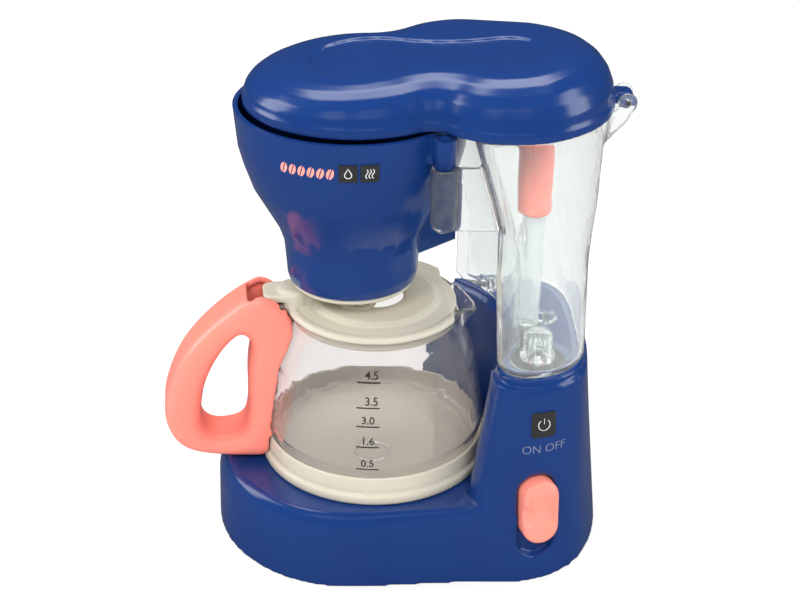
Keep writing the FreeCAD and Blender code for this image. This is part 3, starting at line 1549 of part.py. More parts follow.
def jug_lid_shape():
    top = float(glass_height) + 0.1
    wall = 1.8
    disc = drum(0, 0, top, top + float(lid_disc), lid_disc_radius)
    disc = disc.makeFillet(1.2, [e for e in disc.Edges if is_level(e, top + float(lid_disc))])
    skirt_r = float(glass_neck_radius - glass_wall) - 0.5
    skirt = drum(0, 0, top - float(lid_skirt), top + 1, skirt_r)
    boss_top = top + float(lid_disc + lid_boss)
    boss = drum(0, 0, top + 1, boss_top, lid_boss_radius + 1.5, lid_boss_radius)
    boss = boss.makeFillet(0.9, [e for e in boss.Edges if is_level(e, boss_top)])
    lid = joined([disc, skirt, boss])
    lid = lid.cut(drum(0, 0, top - float(lid_skirt) - 1, top + 1.4, skirt_r - wall))
    lid = lid.cut(drum(0, 0, top - 9, boss_top - wall, lid_boss_radius - 1.2))
    ring_top = top + float(lid_disc)
    ring_low = ring_top - float(lid_groove)
    ring = drum(0, 0, ring_low, ring_top + 1, float(lid_disc_radius) - float(lid_rim_width))
    lid = lid.cut(ring.cut(drum(0, 0, ring_low - 1, ring_top + 2, lid_boss_radius + 1.5)))
    notch = float(lid_notch_x)
    lid = lid.cut(block((notch, -60, top - 9), (60, 60, top + 30)))
    lid = lid.cut(drum(0, 0, top, boss_top + 1, lid_hole_radius, float(lid_hole_radius) + 0.8))
    lever_top = float(lever_top_height)
    lobes = []
    low = top + 1
    for x, radius, rise in ((-34, lever_width / 2 - 0.6, 0.0), (-27, lever_width / 2 - 1.4, -1.6)):
        lobe = drum(x, 0, low, lever_top + rise, radius)
        lobe = lobe.makeFillet(2.2, [e for e in lobe.Edges if is_level(e, lever_top + rise)])
        lobes.append(lobe)
    half = float(lever_width) / 2 - 1.2
    paddle = block((-float(lever_reach), -half, lever_top - 4.6), (-34, half, lever_top - 1.4))
    ends = [
        e for e in paddle.Edges
        if e.BoundBox.XLength < 0.01 and e.BoundBox.YLength < 0.01 and e.BoundBox.XMin < -40
    ]
    paddle = paddle.makeFillet(4, ends)
    lug = block((-float(jug_pin_x) - 3, -5, top + 1), (-float(jug_pin_x) + 4, 5, lever_top - 2))
    lid = joined([lid, *lobes, paddle, lug])
    hole = Part.makeCylinder(
        float(jug_pin_radius + running_gap), 40,
        Vector(-float(jug_pin_x), -20, jug_pin_z), Vector(0, 1, 0),
    )
    return in_jug(lid.cut(hole).removeSplitter())


keep(made("JugLid", jug_lid_shape()), "carafe_lid")

pin = rod("JugLidPin", jug_pin_radius, 20, 0, 0, 0)
spot = Placement(vec(jug_x, 0, base_height), jug_turn_rotation).multVec(
    Vector(-float(jug_pin_x), -10, jug_pin_z)
)
pin.Placement = Placement(spot, jug_turn_rotation.multiply(TO_Y))
keep(pin, "carafe_lid_pin")


# Switch on the column's front


def capsule_shell(width, length, near, far, middle, round_):
    solid = capsule(width, length, near, far, middle)
    edges = [
        e for e in solid.Edges
        if abs(e.BoundBox.YMin - near) < 0.01 and abs(e.BoundBox.YMax - near) < 0.01
    ]
    return solid.makeFillet(round_, edges)


def knob_shape():
    depth = float(slot_depth) - 0.3
    proud = float(knob_proud)
    solid = capsule_shell(float(knob_width), float(knob_length), -proud, depth, 0, 2.4)
    dip = Part.makeCylinder(26, 30, Vector(-15, -proud - 24.6, 1), Vector(1, 0, 0))
    solid = solid.cut(dip.common(block((-5.6, -40, -14), (5.6, 5, 14))))
    reach = float(slot_depth + shell_wall) + 3.4
    stem = capsule(float(stem_width), float(stem_length), depth - 1, reach)
    return on_front(solid.fuse(stem).removeSplitter())


keep(made("SwitchKnob", knob_shape()), "switch_knob")


def carrier_shape():
    near = float(slot_depth + shell_wall) + 0.3
    plate = block((-6.5, near, -6.5), (6.5, near + 2, 6.5))
    fork = block((-4, near + 2, -4.2), (4, near + 5.2, 4.2))
    fit = 2 * snug_gap
    hole = capsule(float(stem_width + fit), float(stem_length + fit), near - 1, near + 3.2)
    notch = block((-2, near + 3.4, -1.3), (2, near + 6, 1.3))
    return on_front(joined([plate, fork]).cut(hole).cut(notch))


keep(made("SwitchCarrier", carrier_shape()), "switch_carrier")


def switch_body_shape():
    shift = -float(knob_travel) / 2
    seat = float(switch_seat)
    reach = float(switch_screw_reach)
    ears = capsule(7, 2 * reach + 8, seat, seat + 1.5, shift)
    case = block((-6, seat, shift - 11.5), (6, seat + 8, shift + 11.5))
    room = block((-4, seat - 1, shift - 9), (4, seat + 6, shift + 9))
    body = joined([ears, case]).cut(room)
    for side in (-1, 1):
        body = body.cut(upright_disc(
            float(screw_radius + seat_gap), seat - 1, seat + 3, shift + side * reach
        ))
    return on_front(body)


keep(made("SwitchBody", switch_body_shape()), "switch_body")


def switch_lever_shape():
    near = float(slot_depth + shell_wall) + 3.7 + 0.3
    tip = block((-1.6, near, -1.1), (1.6, float(switch_seat) + 2, 1.1))
    shoe = block((-3.6, float(switch_seat) + 1.9, -4.5), (3.6, float(switch_seat) + 5.6, 4.5))
    return on_front(joined([tip, shoe]))


keep(made("SwitchLever", switch_lever_shape()), "switch_lever")

screws = []
for side in (-1, 1):
    item = screw(f"SwitchScrew{side + 1}", 0, 0, 0, as_size(4))
    middle = -float(knob_travel) / 2 + side * float(switch_screw_reach)
    spot = Placement(Vector(0, float(switch_seat) + 1.5 + float(screw_head), middle), TO_FRONT)
    item.Placement = front_placement(switch_x, switch_z).multiply(spot)
    screws.append(item)
keep(group("SwitchScrews", screws), "switch_screws")

half = float(column_label_side) / 2
tile = block((-half, -4, -half * 1.08), (half, 4, half * 1.08))
tile = tile.makeFillet(1.4, [
    e for e in tile.Edges if e.BoundBox.XLength < 0.01 and e.BoundBox.ZLength < 0.01
])
skin = column_solid(-float(label_thickness), float(column_height))
tile = on_front(tile, label_x, label_z).common(skin).cut(column_solid(0, float(column_height)))
keep(made("ColumnLabel", tile.removeSplitter()), "column_label")


# Motor and pump


def pump_housing_shape():
    low, high = float(pump_foot), float(pump_top)
    wall = float(pump_wall)
    body = pump_outline(0.0, low, high)
    cup = drum(pump_x, pump_y, low + wall, high + 1, float(pump_radius) - wall)
    half = float(duct_half) - 1.2
    duct = block(
        (float(riser_x) - half + 0.6, pump_y, low + 3), (float(riser_x) + half - 0.6, riser_y, high - 1.6)
    )
    rise = drum(riser_x, riser_y, low + 3, high + 1, float(riser_bore) - 0.4)
    hole = drum(pump_x, pump_y, low - 1, low + 4, 2.6)
    return body.cut(joined([cup, duct, rise, hole])).removeSplitter()


keep(made("PumpHousing", pump_housing_shape()), "pump_housing")
keep(
    turned(
        "PumpSeal",
        [
            (shaft_radius + running_gap, 0), (as_size(2.58), 0), (as_size(2.58), pump_wall),
            (as_size(3.4), pump_wall), (as_size(3.4), pump_wall + 0.8),
            (shaft_radius + running_gap, pump_wall + 0.8),
        ],
        pump_x, pump_y, pump_foot,
    ),
    "pump_seal",
)

gasket = pump_outline(-0.05, float(pump_top), float(shelf_height))
gasket = gasket.cut(drum(pump_x, pump_y, pump_top - 1, shelf_height + 1, 4.4))
gasket = gasket.cut(drum(riser_x, riser_y, pump_top - 1, shelf_height + 1, riser_bore))
keep(made("TankGasket", gasket.removeSplitter()), "tank_gasket")

impeller_foot = pump_foot + pump_wall + 1.6


def impeller_shape():
    low = float(impeller_foot)
    tall = float(impeller_height)
    x, y = float(pump_x), float(pump_y)
    shapes = [drum(x, y, low, low + tall + 0.6, 2.4), drum(x, y, low, low + 0.9, impeller_radius)]
    for number in range(6):
        blade = Part.makeBox(float(impeller_radius) - 0.2, 1, tall, Vector(0, -0.5, 0))
        blade.rotate(Vector(0, 0, 0), Vector(0, 0, 1), number * 60)
        blade.translate(Vector(x, y, low))
        shapes.append(blade)
    wheel = joined(shapes)
    return wheel.cut(drum(x, y, low - 1, low + tall - 0.4, shaft_radius + snug_gap)).removeSplitter()


keep(made("Impeller", impeller_shape()), "impeller")

shaft_foot = motor_foot + 2
shaft_length = impeller_foot + impeller_height - 0.5 - shaft_foot
keep(rod("MotorShaft", shaft_radius, shaft_length, pump_x, pump_y, shaft_foot), "motor_shaft")
armature_foot = motor_foot + 5
keep(
    turned(
        "MotorArmature",
        [
            (shaft_radius + snug_gap, 0), (motor_radius - 3, 0), (motor_radius - 3, motor_length - 9),
            (shaft_radius + snug_gap, motor_length - 9),
        ],
        pump_x, pump_y, armature_foot,
    ),
    "motor_armature",
)
keep(
    turned(
        "MotorCan",
        [
            (motor_radius - 0.9, 0), (motor_radius, 0), (motor_radius, motor_length - 0.8),
            (motor_radius - 0.8, motor_length), (shaft_radius + running_gap, motor_length),
            (shaft_radius + running_gap, motor_length - 1.2), (motor_radius - 0.9, motor_length - 1.2),
        ],
        pump_x, pump_y, motor_foot,
    ),
    "motor_can",
)
keep(
    turned(
        "MotorCap",
        [
            (0, 0), (motor_radius - 1, 0), (motor_radius - 1, 2.4), (as_size(3), 2.4),
            (as_size(3), 3.6), (shaft_radius + running_gap, 3.6), (shaft_radius + running_gap, 1.9),
            (0, 1.9),
        ],
        pump_x, pump_y, motor_foot,
    ),
    "motor_cap",
)


def cradle_shape():
    low, high = float(motor_foot), float(pump_foot)
    x, y = float(pump_x), float(pump_y)
    inner = float(motor_radius + seat_gap)
    outer = inner + 1.5
    plate = [drum(x, y, high - 2, high, outer)]
    for px, py in cradle_spots():
        plate.append(drum(px, py, high - 2, high, float(screw_post_radius)))
        arm = Part.makeBox(math.hypot(px - x, py - y), 5, 2, Vector(0, -2.5, high - 2))
        arm.rotate(Vector(0, 0, 0), Vector(0, 0, 1), math.degrees(math.atan2(py - y, px - x)))
        arm.translate(Vector(x, y, 0))
        plate.append(arm)
    sleeve = drum(x, y, low - 2, high - 1, outer).cut(drum(x, y, low, high, inner))
    body = joined([sleeve, *plate])
    holes = [
        drum(x, y, low, low + float(motor_length) + 0.1, inner),
        drum(x, y, low + 10, high + 1, 3.2),
        drum(x, y, low - 3, low + 1, 4),
    ]
    for px, py in cradle_spots():
        holes.append(drum(px, py, high - 3, high + 1, screw_radius + seat_gap))
    return body.cut(joined(holes)).removeSplitter()


keep(made("MotorCradle", cradle_shape()), "motor_cradle")
screw_set("cradle_screws", cradle_spots(), pump_foot - 2 - screw_head, short_screw)
screw_set("tank_screws", tank_screw_spots, shelf_height - shell_wall - screw_head, short_screw + 1.4)


# Checks and files

doc.recompute()
for item in doc.Objects:
    if "Invalid" in item.State or "Error" in item.State:
        raise RuntimeError(f"{item.Name} isn't valid: {item.State}")
for item in nodes:
    shape = item.Shape
    if shape.isNull() or not shape.isValid() or shape.Volume <= 0:
        raise RuntimeError(f"{item.Label} has a bad shape")

os.makedirs("parts", exist_ok=True)
for item in nodes:
    item.Shape.exportStep(f"parts/{item.Label}.step")
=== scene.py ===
import json
import math

import bpy
from mathutils import Matrix, Vector


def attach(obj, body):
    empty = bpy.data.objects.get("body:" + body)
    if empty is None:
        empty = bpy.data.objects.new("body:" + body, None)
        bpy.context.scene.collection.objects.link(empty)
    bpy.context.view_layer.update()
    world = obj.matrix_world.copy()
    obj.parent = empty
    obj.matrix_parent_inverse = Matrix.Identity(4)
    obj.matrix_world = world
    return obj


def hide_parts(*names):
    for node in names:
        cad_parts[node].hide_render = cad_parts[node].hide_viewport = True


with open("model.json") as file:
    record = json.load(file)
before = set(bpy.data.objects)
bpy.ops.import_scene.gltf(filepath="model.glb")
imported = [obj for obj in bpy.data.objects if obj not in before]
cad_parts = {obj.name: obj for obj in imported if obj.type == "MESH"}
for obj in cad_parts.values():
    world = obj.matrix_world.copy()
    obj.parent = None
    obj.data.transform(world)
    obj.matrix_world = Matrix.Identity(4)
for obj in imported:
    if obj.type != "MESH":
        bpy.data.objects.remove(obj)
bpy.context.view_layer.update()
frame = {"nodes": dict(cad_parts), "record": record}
nodes = frame["nodes"]

# Places in millimetres: X of the upright axes of the jug and of the funnel
MM = 0.001
JUG_AXIS = -15.0
FUNNEL_AXIS = -24.7

bpy.ops.object.select_all(action="DESELECT")
bpy.context.view_layer.objects.active = None


# Shader nodes

class Wire:
    """An output socket that can be used in sums and products."""

    def __init__(self, tree, socket):
        self.tree = tree
        self.socket = socket

    def maths(self, operation, *values):
        return self.tree.add("ShaderNodeMath", {"operation": operation}, dict(enumerate(values)))

    def __add__(self, other):
        return self.maths("ADD", self, other)

    def __radd__(self, other):
        return self.maths("ADD", other, self)

    def __sub__(self, other):
        return self.maths("SUBTRACT", self, other)

    def __mul__(self, other):
        return self.maths("MULTIPLY", self, other)

    def at_least(self, other):
        return self.maths("MAXIMUM", self, other)

    def clipped(self):
        return self.maths("MINIMUM", self.at_least(0.0), 1.0)


class NodeTree:
    """The shader nodes of a material or a world, with one way to add any node."""

    def __init__(self, owner):
        owner.use_nodes = True
        self.nodes = owner.node_tree.nodes
        self.links = owner.node_tree.links
        self.nodes.clear()

    def put(self, node, key, value):
        if isinstance(value, Wire):
            self.links.new(value.socket, node.inputs[key])
        else:
            node.inputs[key].default_value = value

    def add(self, kind, settings=None, inputs=None, out=0):
        node = self.nodes.new(kind)
        for key, value in (settings or {}).items():
            setattr(node, key, value)
        for key, value in (inputs or {}).items():
            self.put(node, key, value)
        return Wire(self, node.outputs[out])

    def ray(self, kind):
        """1 for rays of one kind, such as Camera or Shadow, and 0 for all others."""
        return self.add("ShaderNodeLightPath", out=f"Is {kind} Ray")


class Finish(NodeTree):
    """A material under construction."""

    def __init__(self, name):
        self.material = bpy.data.materials.new(name)
        super().__init__(self.material)
        self.output = self.nodes.new("ShaderNodeOutputMaterial")

    def noise(self, scale, detail, rough=0.5):
        place = self.add("ShaderNodeTexCoord", out="Object")
        return self.add(
            "ShaderNodeTexNoise", {"noise_dimensions": "3D"},
            {"Vector": place, "Scale": scale, "Detail": detail, "Roughness": rough}, "Fac",
        )

    def tones(self, factor, dark, light):
        return self.add(
            "ShaderNodeMix", {"data_type": "RGBA"},
            {"Factor": factor, 6: (*dark, 1.0), 7: (*light, 1.0)}, 2,
        )

    def bump(self, height, strength, distance):
        inputs = {"Height": height, "Strength": strength, "Distance": distance}
        return self.add("ShaderNodeBump", None, inputs, "Normal")

    def surface(self, **inputs):
        """Principled shader from keyword arguments, with _ for a blank in a socket's name."""
        inputs = {key.replace("_", " "): value for key, value in inputs.items()}
        return self.add("ShaderNodeBsdfPrincipled", None, inputs, "BSDF")

    def matt(self, colour):
        """Matt shader in one colour, or in the colours of a wire."""
        if not isinstance(colour, Wire):
            colour = (*colour, 1.0)
        return self.add("ShaderNodeBsdfDiffuse", None, {"Color": colour}, "BSDF")

    def mixed(self, share, first, second):
        """The first shader where the share is 0 and the second where it is 1."""
        return self.add("ShaderNodeMixShader", None, {0: share, 1: first, 2: second}, "Shader")

    def finish(self, shader):
        self.links.new(shader.socket, self.output.inputs["Surface"])
        return self.material


def moulded(name, dark, light, rough, glow=0.0):
    """Glossy moulded plastic: faint flow marks, fine grain and a few rubbed patches."""
    f = Finish(name)
    flow = f.noise(scale=28.0, detail=3.0, rough=0.55)
    rubbed = f.noise(scale=160.0, detail=4.0, rough=0.65)
    fine = f.noise(scale=900.0, detail=2.0)
    waves = f.noise(scale=70.0, detail=1.0, rough=0.4)
    return f.finish(f.surface(
        Base_Color=f.tones(flow * 0.7 + rubbed * 0.3, dark, light),
        Roughness=(rough + (rubbed - 0.5) * 0.08).clipped(),
        IOR=1.5,
        Subsurface_Weight=glow,
        Subsurface_Radius=(0.004, 0.0015, 0.001),
        Subsurface_Scale=1.0,
        Normal=f.bump(waves * 0.7 + fine * 0.12, strength=0.12, distance=0.0006),
    ))


def clear_moulded(name, tint, rough, haze, shade=1.0):
    """Clear plastic with slight ripples. Light passes it on the way to what is inside."""
    f = Finish(name)
    ripple = f.noise(scale=34.0, detail=2.0)
    scuffs = f.noise(scale=420.0, detail=3.0, rough=0.7)
    lighter = tuple(min(1.0, c * 1.03) for c in tint)
    body = f.surface(
        Base_Color=f.tones(ripple, tint, lighter),
        Roughness=(rough + (scuffs - 0.5) * 0.03).clipped(),
        IOR=1.46,
        Transmission_Weight=1.0,
        Normal=f.bump(ripple, strength=0.35, distance=0.0012),
    )
    cloudy = f.mixed(scuffs * haze, body, f.matt((0.92, 0.95, 0.94)))
    shadow_colour = (*[c * shade for c in tint], 1.0)
    through = f.add("ShaderNodeBsdfTransparent", None, {"Color": shadow_colour}, "BSDF")
    return f.finish(f.mixed(f.ray("Shadow"), cloudy, through))


def plated(name, colour, rough, grain):
    """Bare metal with fine streaks."""
    f = Finish(name)
    streaks = f.noise(scale=grain, detail=3.0, rough=0.6)
    return f.finish(f.surface(
        Base_Color=f.tones(streaks, tuple(c * 0.85 for c in colour), colour),
        Metallic=1.0,
        Roughness=(rough + (streaks - 0.5) * 0.12).clipped(),
        Normal=f.bump(streaks, strength=0.1, distance=0.0003),
    ))


# Finishes. Each moulded one has its darkest tone, its lightest tone and its roughness.

blue = moulded("deep_blue_plastic", (0.0042, 0.027, 0.132), (0.0062, 0.034, 0.16), 0.2)
salmon = moulded("salmon_plastic", (0.85, 0.205, 0.155), (0.91, 0.255, 0.195), 0.3, glow=0.12)
cream = moulded("cream_plastic", (0.49, 0.455, 0.37), (0.56, 0.52, 0.43), 0.34, glow=0.05)
clear = clear_moulded("clear_plastic", (0.93, 0.95, 0.94), rough=0.03, haze=0.10)
jug_clear = clear_moulded("jug_plastic", (0.93, 0.91, 0.905), rough=0.02, haze=0.05, shade=0.76)
milky_clear = clear_moulded("milky_plastic", (0.86, 0.88, 0.88), rough=0.12, haze=0.3)
knob_salmon = moulded("knob_salmon", (0.83, 0.225, 0.17), (0.88, 0.275, 0.21), 0.3, glow=0.1)
print_dark = moulded("print_dark", (0.012, 0.011, 0.011), (0.025, 0.022, 0.022), 0.5)
print_salmon = moulded("print_salmon", (0.80, 0.27, 0.21), (0.87, 0.33, 0.25), 0.4)
tile_dark = moulded("dark_tile", (0.016, 0.016, 0.018), (0.03, 0.03, 0.033), 0.38)
white_inner = moulded("white_inner_plastic", (0.66, 0.66, 0.63), (0.74, 0.74, 0.71), 0.4)
black_inner = moulded("black_inner_plastic", (0.02, 0.02, 0.02), (0.035, 0.035, 0.035), 0.45)
rubber = moulded("seal_rubber", (0.022, 0.022, 0.022), (0.035, 0.035, 0.035), 0.7)
cell_wrap = moulded("cell_sleeve", (0.03, 0.11, 0.06), (0.05, 0.15, 0.08), 0.3)
steel = plated("screw_steel", (0.56, 0.56, 0.57), rough=0.28, grain=700.0)
sheet_steel = plated("sheet_steel", (0.62, 0.61, 0.58), rough=0.3, grain=500.0)
print_grey = moulded("print_grey", (0.17, 0.19, 0.25), (0.22, 0.24, 0.30), 0.4)
print_white = moulded("print_white", (0.62, 0.62, 0.62), (0.70, 0.70, 0.70), 0.45)

finish_of_slot = {
    "blue_plastic": blue,
    "clear_plastic": clear,
    "salmon_plastic": salmon,
    "cream_plastic": cream,
    "dark_label": tile_dark,
    "black_plastic": black_inner,
    "white_plastic": white_inner,
    "seal_rubber": rubber,
    "screw_steel": steel,
    "spring_metal": sheet_steel,
    "cell_sleeve": cell_wrap,
}
slot_of_node = {
    part["node"]: part["material_slot"] for part in frame["record"]["subparts"]
}
body_of_node = {
    node: body
    for body, members in frame["record"]["behaviour"]["bodies"].items()
    for node in members
}


def paint(item, material):
    item.data.materials.clear()
    item.data.materials.append(material)


for name, item in nodes.items():
    paint(item, finish_of_slot[slot_of_node[name]])


# Ways of working on a piece

def only(item):
    """Selects one object and nothing else."""
    bpy.ops.object.select_all(action="DESELECT")
    item.select_set(True)
    bpy.context.view_layer.objects.active = item


def edit(item):
    """Opens an object's mesh with all of it selected."""
    only(item)
    bpy.ops.object.mode_set(mode="EDIT")
    bpy.ops.mesh.select_all(action="SELECT")


def done():
    """Closes the mesh that is open and gives its object."""
    bpy.ops.object.mode_set(mode="OBJECT")
    return bpy.context.object


def started(name):
    """The object that was just made, with its name and with its turn in its mesh."""
    item = bpy.context.object
    item.name = name
    bpy.ops.object.transform_apply(location=True, rotation=True, scale=True)
    return item


def change(item, name, kind, **values):
    """Adds a modifier to an object and applies it."""
    modifier = item.modifiers.new(name, kind)
    for key, value in values.items():
        setattr(modifier, key, value)
    only(item)
    bpy.ops.object.modifier_apply(modifier=modifier.name)


def merged(name, items):
    """Joins objects into the first of them."""
    bpy.ops.object.select_all(action="DESELECT")
    for item in items:
        item.select_set(True)
    bpy.context.view_layer.objects.active = items[0]
    bpy.ops.object.join()
    item = bpy.context.object
    item.name = name
    return item


def turned_piece(name, profile, x, y, steps=64):
    """A closed half section in millimetres, spun about an upright axis."""
    bpy.ops.object.select_all(action="DESELECT")
    bpy.ops.mesh.primitive_plane_add(size=MM)
    item = bpy.context.object
    item.name = name
    edit(item)
    bpy.ops.mesh.merge(type="CENTER")
    last = profile[0]
    bpy.ops.transform.translate(value=((x + last[0]) * MM, y * MM, last[1] * MM))
    for radius, height in profile[1:]:
        step = ((radius - last[0]) * MM, 0, (height - last[1]) * MM)
        bpy.ops.mesh.extrude_region_move(TRANSFORM_OT_translate={"value": step})
        last = (radius, height)
    bpy.ops.mesh.select_all(action="SELECT")
    bpy.ops.mesh.spin(
        steps=steps, angle=2 * math.pi, center=(x * MM, y * MM, 0), axis=(0, 0, 1)
    )
    bpy.ops.mesh.select_all(action="SELECT")
    bpy.ops.mesh.remove_doubles(threshold=0.02 * MM)
    bpy.ops.mesh.normals_make_consistent(inside=False)
    item = done()
    bpy.ops.object.shade_smooth_by_angle(angle=math.radians(40))
    return item


def saddled(item, radius, depth):
    """Hollows the front of a piece across its whole width, halfway up."""
    corners = [vertex.co for vertex in item.data.vertices]
    front = min(spot.y for spot in corners)
    middle = (min(spot.z for spot in corners) + max(spot.z for spot in corners)) / 2
    across = (min(spot.x for spot in corners) + max(spot.x for spot in corners)) / 2
    bpy.ops.object.select_all(action="DESELECT")
    bpy.ops.mesh.primitive_cylinder_add(
        vertices=96, radius=radius * MM, depth=30 * MM, rotation=(0, math.radians(90), 0),
        location=(across, front - (radius - depth) * MM, middle),
    )
    cutter = started("saddle_cutter")
    change(item, "hollow", "BOOLEAN", operation="DIFFERENCE", object=cutter)
    bpy.data.objects.remove(cutter)


# Pieces that take the place of solids

def smoothed(node, material, voxel=0.0, rounds=0, saddle=None, filling=None):
    """A copy of a solid's mesh, joined up and softly shaded.

    With a voxel size in millimetres it gets an even mesh, smoothed in some rounds. A saddle is
    a radius and a depth, and a filling is a half section with the place of its axis.
    """
    item = nodes[node].copy()
    item.data = nodes[node].data.copy()
    item.name = f"{node}_surface"
    item.parent = None
    item.matrix_world = Matrix.Identity(4)
    bpy.context.scene.collection.objects.link(item)
    edit(item)
    bpy.ops.mesh.remove_doubles(threshold=0.01 * MM)
    done()
    if saddle:
        saddled(item, *saddle)
    if filling:
        item = merged(item.name, [item, turned_piece(f"{node}_filling", *filling)])
    if voxel:
        change(item, "even_mesh", "REMESH", mode="VOXEL", voxel_size=voxel * MM)
        change(item, "soften", "SMOOTH", factor=0.5, iterations=rounds)
        bpy.ops.object.shade_smooth()
    else:
        bpy.ops.object.shade_smooth_by_angle(angle=math.radians(32))
    paint(item, material)
    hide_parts(node)
    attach(item, body_of_node[node])
    return item


# The filling thickens the wall under the ring groove of the jug's lid
UNDER_GROOVE = [(25.4, 105.4), (34.4, 105.4), (34.4, 107.5), (25.4, 107.5), (25.4, 105.4)]
SHELLS = {
    "base_shell": dict(material=blue, voxel=1.0, rounds=6),
    "top_lid": dict(material=blue, voxel=0.68, rounds=3),
    "filter_funnel": dict(material=blue),
    "water_tank": dict(material=clear, voxel=0.8, rounds=8),
    "intake_cap": dict(material=clear),
    "riser_tube": dict(material=milky_clear),
    "outlet_pipe": dict(material=salmon),
    "drip_insert": dict(material=cream),
    "carafe_base": dict(material=cream, voxel=0.75, rounds=5),
    "carafe_glass": dict(material=jug_clear, voxel=0.75, rounds=8),
    "carafe_handle": dict(material=salmon, voxel=0.75, rounds=10),
    "carafe_lid": dict(
        material=cream, voxel=0.6, rounds=3, filling=(UNDER_GROOVE, JUG_AXIS, 0.0)
    ),
    "switch_knob": dict(material=knob_salmon, voxel=0.35, rounds=6, saddle=(6.5, 3.2)),
    "column_label": dict(material=tile_dark),
    "funnel_label_left": dict(material=tile_dark),
    "funnel_label_right": dict(material=tile_dark),
}
surfaces = {}
for node, settings in SHELLS.items():
    surfaces[node] = smoothed(node, **settings)


# Drawings: flat ones lie in the XZ plane about the origin and face -Y, in millimetres

UPRIGHT = (math.radians(90), 0, 0)


def lettering(name, text, height, thicker=0.0):
    """Flat lettering with digits of a height, its strokes made wider all round."""
    bpy.ops.object.select_all(action="DESELECT")
    bpy.ops.object.text_add(rotation=UPRIGHT)
    item = bpy.context.object
    item.name = name
    item.data.body = text
    item.data.size = height * MM / 0.7
    item.data.offset = thicker * MM
    item.data.align_x = "CENTER"
    item.data.align_y = "CENTER"
    item.data.resolution_u = 6
    bpy.ops.object.convert(target="MESH")
    bpy.ops.object.transform_apply(location=True, rotation=True, scale=True)
    return item


def stroke(name, points, closed=False):
    """A drawn line of round section through points."""
    curve = bpy.data.curves.new(name, "CURVE")
    curve.dimensions = "3D"
    curve.bevel_depth = 0.2 * MM
    curve.bevel_resolution = 2
    spline = curve.splines.new("POLY")
    spline.points.add(len(points) - 1)
    for spot, (x, z) in zip(spline.points, points):
        spot.co = (x * MM, 0, z * MM, 1)
    spline.use_cyclic_u = closed
    item = bpy.data.objects.new(name, curve)
    bpy.context.scene.collection.objects.link(item)
    only(item)
    bpy.ops.object.convert(target="MESH")
    return bpy.context.object


def arc_points(radius, start, end, count=24):
    points = []
    for n in range(count + 1):
        angle = math.radians(start + (end - start) * n / count)
        points.append((radius * math.sin(angle), radius * math.cos(angle)))
    return points


def drop_points():
    """A drop: a point on top, straight shoulders and a round belly."""
    points = [(0, 2.2), (0.75, 0.9)]
    for angle in range(105, -106, -21):
        turn = math.radians(angle)
        points.append((1.35 * math.sin(turn), -0.55 - 1.25 * math.cos(turn)))
    points.append((-0.75, 0.9))
    return points


def steam_points(x):
    """An upright wavy line."""
    points = []
    for n in range(11):
        z = -1.9 + 0.38 * n
        points.append((x + 0.45 * math.sin(z * 1.7), z))
    return points


def bar(name, half_width, half_height):
    """A flat rectangle."""
    bpy.ops.object.select_all(action="DESELECT")
    bpy.ops.mesh.primitive_plane_add(size=2 * MM, rotation=UPRIGHT)
    edit(started(name))
    bpy.ops.transform.resize(value=(half_width, 1, half_height))
    bpy.ops.mesh.subdivide(number_cuts=5)
    return done()


def bean(name, half_width, half_height, half_gap, slant):
    """Two halves of an oval with a slit between them, leaning to one side."""
    halves = []
    for side in (-1, 1):
        bpy.ops.object.select_all(action="DESELECT")
        bpy.ops.mesh.primitive_circle_add(
            vertices=28, radius=MM, fill_type="NGON", rotation=UPRIGHT
        )
        edit(started(name))
        bpy.ops.transform.resize(value=(half_width, 1, half_height))
        bpy.ops.mesh.bisect(
            plane_co=(side * half_gap * MM, 0, 0), plane_no=(side, 0, 0), clear_inner=True
        )
        halves.append(done())
    edit(merged(name, halves))
    bpy.ops.transform.rotate(
        value=math.radians(slant), orient_axis="Y", center_override=(0, 0, 0)
    )
    return done()


# Laying the drawings on

def settle(item, place, target, lift=0.05):
    """Puts a flat drawing in front of a surface and lays it on, a little above it."""
    spot, turn = place
    edit(item)
    bpy.ops.mesh.subdivide(number_cuts=1)
    done()
    item.matrix_world = Matrix.Translation(Vector(spot) * MM) @ turn.to_4x4()
    bpy.context.view_layer.update()
    change(
        item, "lay_on", "SHRINKWRAP", wrap_method="PROJECT", target=surfaces[target],
        use_project_y=True, use_positive_direction=True, use_negative_direction=True,
        project_limit=20 * MM, offset=lift * MM, wrap_mode="ABOVE_SURFACE",
    )
    bpy.ops.object.transform_apply(location=True, rotation=True, scale=True)


def around(axis_x, angle, reach, height):
    """Place and turn in front of a round wall, for a drawing that faces outwards."""
    turn = math.radians(angle)
    spot = (axis_x + reach * math.cos(turn), reach * math.sin(turn), height)
    return spot, Matrix.Rotation(turn + math.pi / 2, 3, "Z")


def belongs(item, body, material):
    """Paints a new piece and makes it part of a body."""
    paint(item, material)
    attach(item, body)


def outward(node):
    """Middle of a tile's outer side in metres, and the turn of a drawing that lies there."""
    normal, middle, total = Vector(), Vector(), 0.0
    for face in nodes[node].data.polygons:
        if face.normal.y < -0.5:
            normal += face.normal * face.area
            middle += face.center * face.area
            total += face.area
    inward = -normal.normalized()
    across = inward.cross(Vector((0, 0, 1))).normalized()
    turn = Matrix((across, inward, across.cross(inward))).transposed()
    return middle / total, turn


def on_tile(item, node, body):
    """Lays a drawn mark on the middle of a tile."""
    spot, turn = outward(node)
    item.matrix_world = Matrix.Translation(spot) @ turn.to_4x4()
    only(item)
    bpy.ops.object.transform_apply(location=True, rotation=True, scale=True)
    belongs(item, body, print_white)


# Six beans in a row on the funnel, each a step further round

